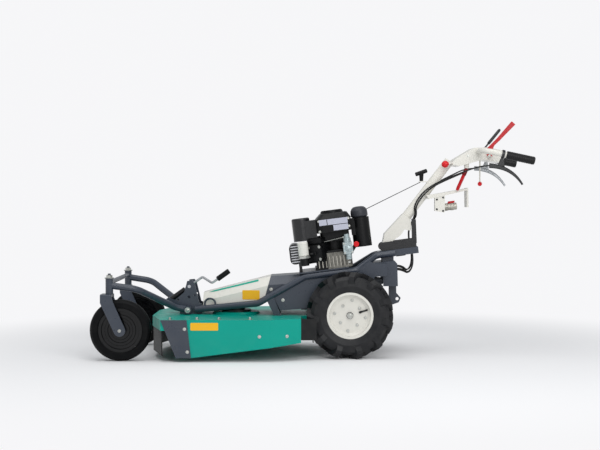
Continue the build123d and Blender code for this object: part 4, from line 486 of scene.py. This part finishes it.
def row_line(tree, given):
    """Points in a row from the start to the end."""
    sockets = {"Count": given["Count"], "Start Location": given["Start"], "Offset": given["End"]}
    return put(tree, "GeometryNodeMeshLine", sockets, mode="END_POINTS").outputs[0]


def hoop(tree, points, radius):
    """A flat circle as a curve."""
    return put(tree, "GeometryNodeCurvePrimitiveCircle", {"Resolution": points, "Radius": radius}).outputs[0]


def ring_tree():
    """Rings of round wire in a row, square to the line from the start to the end."""
    tree, given = shape_tree("ring_row", (
        ("Start", "Vector"), ("End", "Vector"), ("Count", "Int"), ("Radius", "Float"),
        ("Wire Radius", "Float"),
    ))
    ends = {0: given["End"], 1: given["Start"]}
    run = put(tree, "ShaderNodeVectorMath", ends, operation="SUBTRACT").outputs[0]
    turn = put(tree, "FunctionNodeAlignRotationToVector", {"Vector": run}, axis="Z").outputs[0]
    placed = put(tree, "GeometryNodeInstanceOnPoints", {
        "Points": row_line(tree, given), "Instance": hoop(tree, 40, 1.0), "Rotation": turn,
        "Scale": given["Radius"],
    }).outputs[0]
    lines = put(tree, "GeometryNodeRealizeInstances", {0: placed}).outputs[0]
    wire = hoop(tree, 8, given["Wire Radius"])
    return close_tree(tree, given, put(tree, "GeometryNodeCurveToMesh", {0: lines, 1: wire}).outputs[0])


def spoke_tree():
    """Bars that radiate about local Z between two radii, then turned and set in place."""
    tree, given = shape_tree("spoke_ring", (
        ("Count", "Int"), ("Inner", "Float"), ("Outer", "Float"), ("Width", "Float"), ("Height", "Float"),
        ("Place", "Vector"), ("Turn", "Rotation"),
    ))
    middle = scaled(tree, calc(tree, given["Inner"], given["Outer"]), 0.5)
    length = calc(tree, given["Outer"], given["Inner"], "SUBTRACT")
    circle = put(tree, "GeometryNodeMeshCircle", {"Vertices": given["Count"], "Radius": middle}).outputs[0]
    size = put(tree, "ShaderNodeCombineXYZ", {"X": length, "Y": given["Width"], "Z": given["Height"]})
    bar = put(tree, "GeometryNodeMeshCube", {"Size": size.outputs[0]}).outputs["Mesh"]
    place = put(tree, "GeometryNodeInputPosition").outputs[0]
    turn = put(tree, "FunctionNodeAlignRotationToVector", {"Vector": place}, axis="X").outputs[0]
    placed = put(tree, "GeometryNodeInstanceOnPoints", {
        "Points": circle, "Instance": bar, "Rotation": turn,
    }).outputs[0]
    moved = put(tree, "GeometryNodeTransform", {
        "Geometry": placed, "Translation": given["Place"], "Rotation": given["Turn"],
    }).outputs[0]
    return close_tree(tree, given, moved)


def slat_tree():
    """Equal bars in a row from the start to the end, turned alike."""
    tree, given = shape_tree("slat_row", (
        ("Start", "Vector"), ("End", "Vector"), ("Count", "Int"), ("Size", "Vector"), ("Turn", "Rotation"),
    ))
    bar = put(tree, "GeometryNodeMeshCube", {"Size": given["Size"]}).outputs["Mesh"]
    placed = put(tree, "GeometryNodeInstanceOnPoints", {
        "Points": row_line(tree, given), "Instance": bar, "Rotation": given["Turn"],
    }).outputs[0]
    return close_tree(tree, given, placed)


BOLTS, RINGS, SPOKES, SLATS = bolt_tree(), ring_tree(), spoke_tree(), slat_tree()


# Ways to make a piece
def settle(piece, body):
    """Puts a finished piece on its body."""
    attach(piece, body)
    return piece


def grow(name, tree, sizes, material, body, host=None):
    """Runs a tree once and keeps its result as a plain mesh piece."""
    base = host or bpy.data.meshes.new(name + "_host")
    seed = linked(bpy.data.objects.new(name + "_host", base))
    modifier = seed.modifiers.new("grow", "NODES")
    modifier.node_group = tree
    for item in tree.interface.items_tree:
        if item.in_out == "INPUT" and item.name in sizes:
            modifier[item.identifier] = sizes[item.name]
        if item.in_out == "INPUT" and item.name == "Finish":
            modifier[item.identifier] = material
    graph = bpy.context.evaluated_depsgraph_get()
    mesh = bpy.data.meshes.new_from_object(seed.evaluated_get(graph))
    bpy.data.objects.remove(seed)
    mesh.name = name
    mesh.materials.clear()
    mesh.materials.append(material)
    return settle(linked(bpy.data.objects.new(name, mesh)), body)


def bolts(name, body, head, rows, material=None, height=0.62, washer=1.75):
    """Bolt heads on a body: rows of a point in millimetres and the way it faces."""
    host = bpy.data.meshes.new(name + "_points")
    host.from_pydata([at(*point) for point, _ in rows], [], [])
    facing = host.attributes.new("facing", "FLOAT_VECTOR", "POINT")
    facing.data.foreach_set("vector", [c for _, way in rows for c in Vector(way).normalized()])
    sizes = {"Head Radius": head * MM, "Head Height": head * height * MM, "Washer Radius": head * washer * MM,
             "Washer Height": head * 0.16 * MM}
    return grow(name, BOLTS, sizes, material or ZINC, body, host)


def both_sides(rows):
    """Rows of a point and the way it faces, given on the left and repeated on the right."""
    return [((x, side * y, z), (a, side * b, c)) for side, _ in SIDES for (x, y, z), (a, b, c) in rows]


def rings(name, body, start, end, count, radius, wire, material):
    """A row of equal wire rings from one point to another."""
    sizes = {"Start": at(*start), "End": at(*end), "Count": count, "Radius": radius * MM,
             "Wire Radius": wire * MM}
    return grow(name, RINGS, sizes, material, body)


def spoked(name, body, place, axis, count, inner, outer, width, height, material):
    """Flat bars that radiate about an axis."""
    turn = Vector(axis).to_track_quat("Z", "Y").to_euler()
    sizes = {"Count": count, "Inner": inner * MM, "Outer": outer * MM, "Width": width * MM,
             "Height": height * MM, "Place": at(*place), "Turn": turn}
    return grow(name, SPOKES, sizes, material, body)


def slats(name, body, start, end, count, size, turn, material):
    """A row of equal bars from one point to another."""
    sizes = {"Start": at(*start), "End": at(*end), "Count": count, "Size": Vector(size) * MM, "Turn": turn}
    return grow(name, SLATS, sizes, material, body)


def piece_from(name, verts, faces, material, smooth=False):
    """A mesh piece from points in millimetres."""
    mesh = bpy.data.meshes.new(name)
    mesh.from_pydata([at(*v) for v in verts], [], faces)
    form = bmesh.new()
    form.from_mesh(mesh)
    bmesh.ops.remove_doubles(form, verts=form.verts, dist=1e-6)
    bmesh.ops.recalc_face_normals(form, faces=form.faces)
    for face in form.faces:
        face.smooth = smooth
    form.to_mesh(mesh)
    form.free()
    mesh.materials.append(material)
    return linked(bpy.data.objects.new(name, mesh))


def tube_faces(rows, around):
    """Faces of a tube closed at both ends, for points that go round it row after row."""
    faces = []
    for first in range(0, (rows - 1) * around, around):
        for i in range(around):
            j = (i + 1) % around
            faces.append((first + i, first + j, first + around + j, first + around + i))
    faces.append(tuple(reversed(range(around))))
    faces.append(tuple(range((rows - 1) * around, rows * around)))
    return faces


def blank_plate(name, body, centre, along, up, length, height, thick, corner, material):
    """A plain plate with round corners and a chamfered rim, laid on a surface that faces left."""
    along, up = Vector(along).normalized(), Vector(up).normalized()
    out = along.cross(up)
    if out.dot(LEFT) < 0:
        out = -out
    outline = []
    for sx, sy, first in ((1, 1, 0), (-1, 1, 90), (-1, -1, 180), (1, -1, 270)):
        for step in range(5):
            angle = radians(first + 22.5 * step)
            outline.append((sx * (length / 2 - corner) + corner * cos(angle),
                            sy * (height / 2 - corner) + corner * sin(angle)))
    verts = []
    layers = ((0.0, 0.0), (thick * 0.6, 0.0), (thick, RIM_CHAMFER))
    for lift, inset in layers:
        for x, y in outline:
            shrink = Vector((x * (1 - 2 * inset / length), y * (1 - 2 * inset / height)))
            verts.append(Vector(centre) + along * shrink.x + up * shrink.y + out * lift)
    return settle(piece_from(name, verts, tube_faces(len(layers), len(outline)), material), body)


def lathe(name, body, foot, axis, profile, material, sides=24):
    """A turned piece: rows of distance along the axis and radius, closed at both ends."""
    axis = Vector(axis).normalized()
    side = axis.orthogonal().normalized()
    other = axis.cross(side)
    verts = []
    for along, radius in profile:
        for i in range(sides):
            angle = 2 * pi * i / sides
            verts.append(Vector(foot) + axis * along + (side * cos(angle) + other * sin(angle)) * radius)
    return settle(piece_from(name, verts, tube_faces(len(profile), sides), material), body)


def slab(name, body, outline, depth, material, bevel=1.5):
    """A flat piece: an outline in millimetres pushed along a depth, with its edges rounded."""
    form = bmesh.new()
    low = [form.verts.new(at(*point)) for point in outline]
    face = form.faces.new(low)
    grown = bmesh.ops.extrude_face_region(form, geom=[face])
    top = [item for item in grown["geom"] if isinstance(item, bmesh.types.BMVert)]
    bmesh.ops.translate(form, verts=top, vec=Vector(depth) * MM)
    bmesh.ops.recalc_face_normals(form, faces=form.faces)
    bmesh.ops.bevel(form, geom=form.edges[:], offset=bevel * MM, segments=2, profile=0.5, affect="EDGES")
    mesh = bpy.data.meshes.new(name)
    form.to_mesh(mesh)
    form.free()
    mesh.materials.append(material)
    return settle(linked(bpy.data.objects.new(name, mesh)), body)


def curved_lever(name, body, start, middle, end, width, tip_width, thick, material):
    """A flat blade along one smooth curve in the XZ plane that narrows to its tip."""
    section = ((1, 0.5), (0.6, 1), (-0.6, 1), (-1, 0.5), (-1, -0.5), (-0.6, -1), (0.6, -1), (1, -0.5))
    rows, verts = 18, []
    start, middle, end = Vector(start), Vector(middle), Vector(end)
    for row in range(rows + 1):
        t = row / rows
        spot = start * (1 - t) ** 2 + middle * 2 * t * (1 - t) + end * t ** 2
        run = ((middle - start) * (1 - t) + (end - middle) * t).normalized()
        across = Vector((-run.z, 0, run.x))
        half = (width + (tip_width - width) * t) / 2
        side = thick / 2 * (1 - 0.3 * t)
        for a, b in section:
            verts.append(spot + across * half * a + LEFT * side * b)
    return settle(piece_from(name, verts, tube_faces(rows + 1, len(section)), material), body)


def cable(name, body, points, radius):
    """A sheathed cable: a smooth spline with its route's points, in millimetres, as its control points."""
    data = bpy.data.curves.new(name, "CURVE")
    data.dimensions = "3D"
    data.resolution_u = 8
    # The points' own radius gives the thickness, which keeps the curve's box true
    data.bevel_depth = 1.0
    data.bevel_resolution = 2
    data.use_fill_caps = True
    spline = data.splines.new("NURBS")
    spline.points.add(len(points) - 1)
    for knot, point in zip(spline.points, points):
        knot.co = (*at(*point), 1.0)
        knot.radius = radius * MM
    spline.order_u = 3
    spline.use_endpoint_u = True
    data.materials.append(FINISH["rope_black"])
    return settle(linked(bpy.data.objects.new(name, data)), body)


def line_length(curve):
    """The length in metres of a curve's own line, measured without its thickness."""
    depth, curve.data.bevel_depth = curve.data.bevel_depth, 0.0
    graph = bpy.context.evaluated_depsgraph_get()
    line = bpy.data.meshes.new_from_object(curve.evaluated_get(graph))
    curve.data.bevel_depth = depth
    spots = [vertex.co.copy() for vertex in line.vertices]
    bpy.data.meshes.remove(line)
    return sum((b - a).length for a, b in zip(spots, spots[1:]))


# Rear wheels: two rings of bolts through the disc, the axle bolt, and the valve bent flat along the disc
WHEEL_X, WHEEL_Y, WHEEL_Z = -176, 248, 208
DISC_FACE = 15
HUB_BOLT_R, RIM_BOLT_R = 57, 74
VALVE_ANGLE = 162
VALVE = ((-4, 2), (0, 5.5), (8, 5.5), (12, 4.2), (30, 3.6), (31, 4.4), (39, 4.4), (41, 2.5))


def on_disc(side, radius, angle, lift=0.0):
    """A point on a wheel's disc, lifted off its outer face."""
    turn = radians(angle)
    left = side * (WHEEL_Y + DISC_FACE + lift)
    return Vector((WHEEL_X + radius * cos(turn), left, WHEEL_Z + radius * sin(turn)))


for side, word in SIDES:
    body, out = "rear_wheel_" + word, LEFT * side
    ring = [(on_disc(side, HUB_BOLT_R, 53 + 90 * k), out) for k in range(4)]
    ring += [(on_disc(side, RIM_BOLT_R, 8 + 90 * k), out) for k in range(4)]
    bolts("disc_bolts_" + word, body, 6.2, ring, washer=1.35)
    bolts("axle_bolt_" + word, body, 10, [(on_disc(side, 0, 0, 12), out)], washer=1.4)
    foot, tip = on_disc(side, 48, VALVE_ANGLE, 4), on_disc(side, 88, VALVE_ANGLE, 7)
    lathe("valve_" + word, body, foot, tip - foot, VALVE, FINISH["tyre_rubber"])

# Castors: the nuts on each axle
CASTER_X, CASTER_Y, CASTER_Z = 911, 330, 145
CASTER_HALF = 46
for side, word in SIDES:
    nuts = [((CASTER_X, side * CASTER_Y + out * CASTER_HALF, CASTER_Z), LEFT * out) for out in (1, -1)]
    bolts("castor_axle_nuts_" + word, "caster_" + word, 6, nuts, washer=1.3)

# Deck and frame bolts
DECK_BOLTS = (
    # a point on the left, and the way it faces
    ((603, 400.3, 156), LEFT),
    ((590, 400.3, 49), LEFT),
    ((253, 395, 120), LEFT),
    ((124, 365.6, 119), (-0.361, 0.932, 0)),
)
bolts("deck_bolts", "chassis", 5.5, both_sides(DECK_BOLTS), washer=1.45)
FRAME_BOLTS = (((146, 153, 273), LEFT), ((204, 123.5, 323), LEFT))
bolts("frame_bolts", "chassis", 6, both_sides(FRAME_BOLTS), washer=1.4)

# Blank plates on the deck's left side and the hood's left flank
PLATE_THICK, PLATE_CORNER = 0.8, 4
blank_plate("deck_plate", "chassis", (511, 395, 167), (1, 0, 0), UP, 130, 36,
            PLATE_THICK, PLATE_CORNER, PLATE_YELLOW)
blank_plate("hood_plate", "chassis", (303, 110.6, 295), (0.9907, -0.136, 0), UP, 86, 46,
            PLATE_THICK, PLATE_CORNER, PLATE_YELLOW)

# Handle grips: a row of soft ribs round each
GRIP_Y = 260
for side, word in SIDES:
    front, back = (-930, side * GRIP_Y, 973.1), (-1046, side * GRIP_Y, 948.4)
    rings("grip_ribs_" + word, "handle", front, back, 15, 18.6, 1.6, FINISH["grip_rubber"])

# Starter rope: three laid strands
ROPE_START, ROPE_END = on_engine(-132, 0, 236), Vector((-541, 0, 851.4))
ROPE_R, STRANDS, STRAND_DEPTH, STRAND_LAY = 1.75, 3, 0.25, 15.0


def starter_rope():
    """A rope from the engine to its grip."""
    run = ROPE_END - ROPE_START
    axis = run.normalized()
    side = axis.orthogonal().normalized()
    other = axis.cross(side)
    rows, around, verts = 240, 18, []
    for row in range(rows + 1):
        share = row / rows
        twist = 2 * pi * share * run.length / STRAND_LAY
        for i in range(around):
            angle = 2 * pi * i / around
            radius = ROPE_R + STRAND_DEPTH * cos(STRANDS * (angle - twist))
            verts.append(ROPE_START + run * share + (side * cos(angle) + other * sin(angle)) * radius)
    faces = tube_faces(rows + 1, around)
    rope = piece_from("starter_rope_laid", verts, faces, FINISH["rope_black"], smooth=True)
    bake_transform(rope)
    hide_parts("starter_rope")


starter_rope()

# Engine: crankcase ribs, head bolts and plugs, the silencer's guard, the filter's trim and the drain plug
TILT = (0.0, radians(7.123), 0.0)
BLACK, STEEL = FINISH["black_plastic"], FINISH["bright_steel"]
BARREL_ROOT = on_engine(-20, 0, 0)
HEAD_OUT, HEAD_UP = 170.2, 84
HEAD_BOLTS = (-30, 30)
CASE_SIDE, GUARD_SIDE = 134, 113
PLUG_BOOT = ((0, 9), (3, 9), (4, 7), (12, 7), (13, 8.5), (24, 8), (30, 6), (33, 2))


def barrel_axes(side):
    """The way a splayed cylinder points, and the level way across it."""
    return ENGINE_FORWARD * 0.5 + LEFT * side * 0.866, ENGINE_FORWARD * 0.866 - LEFT * side * 0.5


for side, word in SIDES:
    slats("case_ribs_" + word, "chassis", on_engine(-94, side * CASE_SIDE, 33),
          on_engine(48, side * CASE_SIDE, 33), 9, (5, 6, 50), TILT, RIB_ALLOY)
    out, across = barrel_axes(side)
    head = BARREL_ROOT + ENGINE_UP * HEAD_UP + out * HEAD_OUT
    corners = [(head + across * a + ENGINE_UP * b, out) for a in HEAD_BOLTS for b in HEAD_BOLTS]
    bolts("head_bolts_" + word, "chassis", 5, corners, washer=1.4)
    lathe("plug_boot_" + word, "chassis", head, out, PLUG_BOOT, FINISH["rope_black"])
    slats("silencer_guard_" + word, "chassis", on_engine(159, side * GUARD_SIDE, 52),
          on_engine(159, side * GUARD_SIDE, 128), 7, (40, 3, 5), TILT, STEEL)

FILTER_U, FILTER_LEFT = 117, 154
lathe("filter_hexagon", "chassis", on_engine(FILTER_U, FILTER_LEFT, 66), ENGINE_UP,
      ((0, 24), (1, 30), (12, 30), (13.5, 27)), ZINC, sides=6)
rings("filter_flutes", "chassis", on_engine(FILTER_U, FILTER_LEFT, 86),
      on_engine(FILTER_U, FILTER_LEFT, 138), 7, 25, 0.9, FINISH["white_paint"])
lathe("drain_plug", "chassis", on_engine(-99, CASE_SIDE, 22), LEFT,
      ((-8, 8), (2, 8), (3, 6.5), (8, 6.5), (9, 5)), ZINC)

# Carburettor: screws, a round cover on its left side and a linkage rod
CARB_U, CARB_FACE = -100, 177.3
bolts("carb_screws", "chassis", 3.2,
      [(on_engine(CARB_U + a, CARB_FACE, 92 + b), LEFT) for a in (-18, 18) for b in (-22, 22)], washer=1.3)
lathe("carb_cover", "chassis", on_engine(CARB_U, CARB_FACE - 1, 90), LEFT,
      ((0, 14), (4, 14), (5, 12), (8, 12), (9, 6), (12, 6), (12.5, 4)), CARB_ALLOY)
rod_start, rod_end = on_engine(-88, 155, 146), on_engine(50, 126, 129.5)
rod_length = (rod_end - rod_start).length
ROD = ((0, 4.5), (8, 4.5), (9, 1.8), (rod_length - 9, 1.8), (rod_length - 8, 4.2), (rod_length, 4.2))
lathe("linkage_rod", "chassis", rod_start, rod_end - rod_start, ROD, ZINC, sides=12)

# Cowl: baffles over the cylinders, the starter's grille, cover screws and a panel seam
BAFFLE_UP, BAFFLE_HIGH = 128.6, 30
BAFFLE = ((96, 44), (96, -44), (166, -40), (166, 40))
for side, word in SIDES:
    out, across = barrel_axes(side)
    foot = BARREL_ROOT + ENGINE_UP * BAFFLE_UP
    outline = [foot + out * a + across * b for a, b in BAFFLE]
    slab("cylinder_baffle_" + word, "chassis", outline, ENGINE_UP * BAFFLE_HIGH, BLACK,
         bevel=6)
spoked("starter_grille", "chassis", on_engine(-45.5, 0, 281), ENGINE_UP, 28, 14, 50, 2.6, 4,
       BLACK)
COWL_SCREWS = ((-118, 198), (-118, 236), (26, 186), (26, 236))
bolts("cowl_screws", "chassis", 4, [(on_engine(u, 170, w), LEFT) for u, w in COWL_SCREWS], washer=1.5)
blank_plate("panel_seam", "chassis", on_engine(-14, 174.4, 228), ENGINE_FORWARD, ENGINE_UP,
            3, 27, 0.6, 1, BLACK)

# Air cleaner: its domed cap and the bands round its body
CLEANER_U, CLEANER_LEFT = -178, 62
DOME = ((0, 35), (3, 39), (8, 42), (22, 42), (34, 40.5), (44, 35), (51, 26), (53.5, 14), (54, 1))
dome = lathe("cleaner_dome", "chassis", on_engine(CLEANER_U, CLEANER_LEFT, 231.3), ENGINE_UP,
             DOME, FINISH["grey_plastic"], sides=48)
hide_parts("air_cleaner_cap")
rings("cleaner_bands", "chassis", on_engine(CLEANER_U, CLEANER_LEFT, 98),
      on_engine(CLEANER_U, CLEANER_LEFT, 222), 2, 45, 1.4, BLACK)

# Castor spindle nuts, the arms' pivot bolts and the tall bolts on the deck's top
SPINDLE_X, SPINDLE_TOP = 964, 391.2
for side, word in SIDES:
    bolts("spindle_nut_" + word, "caster_" + word, 15, [((SPINDLE_X, side * CASTER_Y, SPINDLE_TOP), UP)],
          height=0.72, washer=1.5)
bolts("arm_pivot_bolts", "front_frame", 9, both_sides((((612, 132, 222), LEFT),)), washer=1.5)
bolts("deck_top_bolts", "chassis", 7, both_sides([((x, 365, 198), UP) for x in (674, 547, 444, 298)]),
      height=1.1, washer=1.5)

# Handle: curved hand levers, the bent safety lever, the drive lever's grip and the control head's screws
PERCH, GRIP_RUN = Vector((-899.5, 0, 979.6)), Vector((-0.978, 0, -0.2086))
PERCH_RING = ((0, 15), (0.5, 20), (2, 21), (12, 21), (13.5, 20), (14, 15))
LEVER_WEB = ((-896, 962), (-908, 960), (-914, 918), (-880, 926))
WEB_THICK = 10
LEVERS = (
    # left, name, slot, finish
    (GRIP_Y, "left", "black_paint", FINISH["black_paint"]),
    (-GRIP_Y, "right", "bright_steel", SILVER),
)
for left, word, slot, material in LEVERS:
    root, bend, tip = (-840, left, 924), (-948, left, 918), (-999, left, 833)
    blade = curved_lever("hand_lever_" + word, "handle", root, bend, tip, 24, 9, 13, material)
    perch = PERCH + LEFT * left
    lathe("lever_perch_" + word, "handle", perch, GRIP_RUN, PERCH_RING, material, sides=32)
    web = [(x, left - WEB_THICK / 2, z) for x, z in LEVER_WEB]
    slab("lever_web_" + word, "handle", web, LEFT * WEB_THICK, material)
    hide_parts("clutch_levers")
bolts("lever_pivots", "handle", 6, [((-863, 110.6, 972), LEFT), ((-848, -110.6, 994), -LEFT)], washer=1.5)
SAFETY_LEVER = (
    (-877, 973), (-878, 1004), (-887, 1026), (-916, 1053), (-926, 1064), (-990, 1129),
    (-972, 1145), (-901, 1062), (-853, 1014), (-849, 1003), (-853, 973),
)
bent = slab("safety_lever_bent", "handle", [(x, 98.3, z) for x, z in SAFETY_LEVER], (0, 12, 0),
            LACQUER_RED, bevel=2.2)
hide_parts("safety_lever")
DRIVE_ROOT, DRIVE_TIP = Vector((-848, -104.3, 994)), Vector((-949, -104.3, 1118))
DRIVE_GRIP = (
    (-4, 3), (0, 6), (12, 6), (16, 4.2), (62, 4.2), (66, 7), (76, 8), (150, 7.6), (158, 5.5), (160, 1),
)
drive = lathe("drive_lever_grip", "handle", DRIVE_ROOT, DRIVE_TIP - DRIVE_ROOT, DRIVE_GRIP,
              FINISH["black_paint"])
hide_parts("drive_lever")
HEAD_SCREWS = (((-760, 98, 976), LEFT), ((-900, 98, 984), LEFT))
bolts("head_screws", "handle", 4.5, both_sides(HEAD_SCREWS), washer=1.5)

# Red controls: the brake lever in its sleeve, the shift knob and the throttle knob
BRAKE_TOP, BRAKE_TIP = Vector((-757, 76, 915.5)), Vector((-709, 76, 807))
brake_run = BRAKE_TIP - BRAKE_TOP
lever = lathe("brake_lever_bar", "handle", BRAKE_TOP + brake_run * 0.3, brake_run,
              ((0, 8.4), (70, 8.4), (80, 7.6), (82.5, 5), (83, 1)), LACQUER_RED)
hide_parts("red_controls")
lathe("brake_sleeve", "handle", BRAKE_TOP, brake_run,
      ((0, 9), (1, 10), (30, 10.4), (36, 9.6), (38, 8.6)), DARK_RED)
SHIFT_KNOB = (
    (0, 6.5), (2, 7), (3.5, 10), (7, 14), (11, 16.6), (16, 17.5),
    (21, 17.2), (27, 14.8), (32, 10.6), (35, 5.6), (36, 1),
)
THROTTLE_KNOB = (
    (0, 4.6), (1.5, 5), (3, 7.6), (6, 10), (10, 11), (15, 10.4), (19, 7.8), (21.6, 4), (22.2, 1),
)
knob_run = Vector((52, 0, -8)).normalized()
lathe("shift_knob", "handle", Vector((-652, 60, 936)) - knob_run * 18.5, knob_run, SHIFT_KNOB,
      FINISH["red_plastic"], sides=36)
lathe("throttle_knob", "handle", (-835, -20, 851.3), -UP, THROTTLE_KNOB, FINISH["red_plastic"],
      sides=28)

# Control box under the tray: the round switch with its collars, the red catch on it and the tray's screws
SWITCH = (
    (1, 17.3), (2, 18.6), (14, 18.6), (16, 17.4), (30, 17.4),
    (32, 19), (44, 19), (46, 17.3), (60, 17.3), (62, 12),
)
lathe("switch_barrel", "handle", (-651, 38, 724), (-1, 0, 0.1), SWITCH, RIB_ALLOY)
CATCH = ((-666, 742), (-700, 747), (-702, 757), (-670, 753))
slab("switch_catch", "handle", [(x, 30, z) for x, z in CATCH], (0, 16, 0), LACQUER_RED)
TRAY_SCREWS = ((-612, 714), (-643, 706), (-612, 762), (-643, 772))
bolts("tray_screws", "handle", 3.6, [((x, 60, z), LEFT) for x, z in TRAY_SCREWS], BLACK_OXIDE, washer=1.4)

CABLE_R = 3.6


def declare_cable(piece):
    """Measures the length of a cable's line, and keeps nothing of it."""
    line_length(piece)


# Control cables up the column
CABLES = (
    # name, lane at the foot, back and left where it meets the column, back and left along it, its last points
    ("right", -30, 30, -25, -6, -31, ((-716, -130, 890), (-790, -GRIP_Y, 921), (-839.7, -GRIP_Y, 924))),
    ("left", -18, 28, 26, -10, 31, ((-716, 130, 890), (-790, GRIP_Y, 921), (-839.7, GRIP_Y, 924))),
    ("head", -6, 36, 34, 0, 31, ((-700, 31, 876), (-760, 31, 900), (-760, 31, 935))),
)
for word, foot, turn_back, turn_left, back, lane, ends in CABLES:
    run = [on_swivel(-52, foot, 7.3), on_column(96, 52, foot), on_column(150, 40, foot),
           on_column(186, turn_back, turn_left), on_column(220, back, lane), on_column(330, back, lane),
           *ends]
    control = cable("control_cable_" + word, "handle", run, CABLE_R)
    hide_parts("handle_cables")
    declare_cable(control)

# Slack cable loops from the support down to the tail cover
LOOPS = (
    # left, furthest back, lowest, height at the cover
    (-38, -500, 402, 428),
    (-20, -508, 390, 412),
    (16, -504, 396, 420),
    (36, -496, 408, 436),
)
COVER_BACK_X, COVER_EDGE_Z, COVER_LEAN = -413, 448, 3 / 110
COVER_GAP = 0.6
for number, (left, back, low, end) in enumerate(LOOPS):
    seat = COVER_BACK_X - COVER_LEAN * (COVER_EDGE_Z - end) - COVER_GAP
    route = [on_swivel(-56, left, -16), (back, left, 452), (back + 26, left, low), (seat - 28, left, end),
             (seat, left, end)]
    loop = cable("cable_loop_%d" % number, "chassis", route, CABLE_R)
    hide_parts("cable_loops")
    declare_cable(loop)
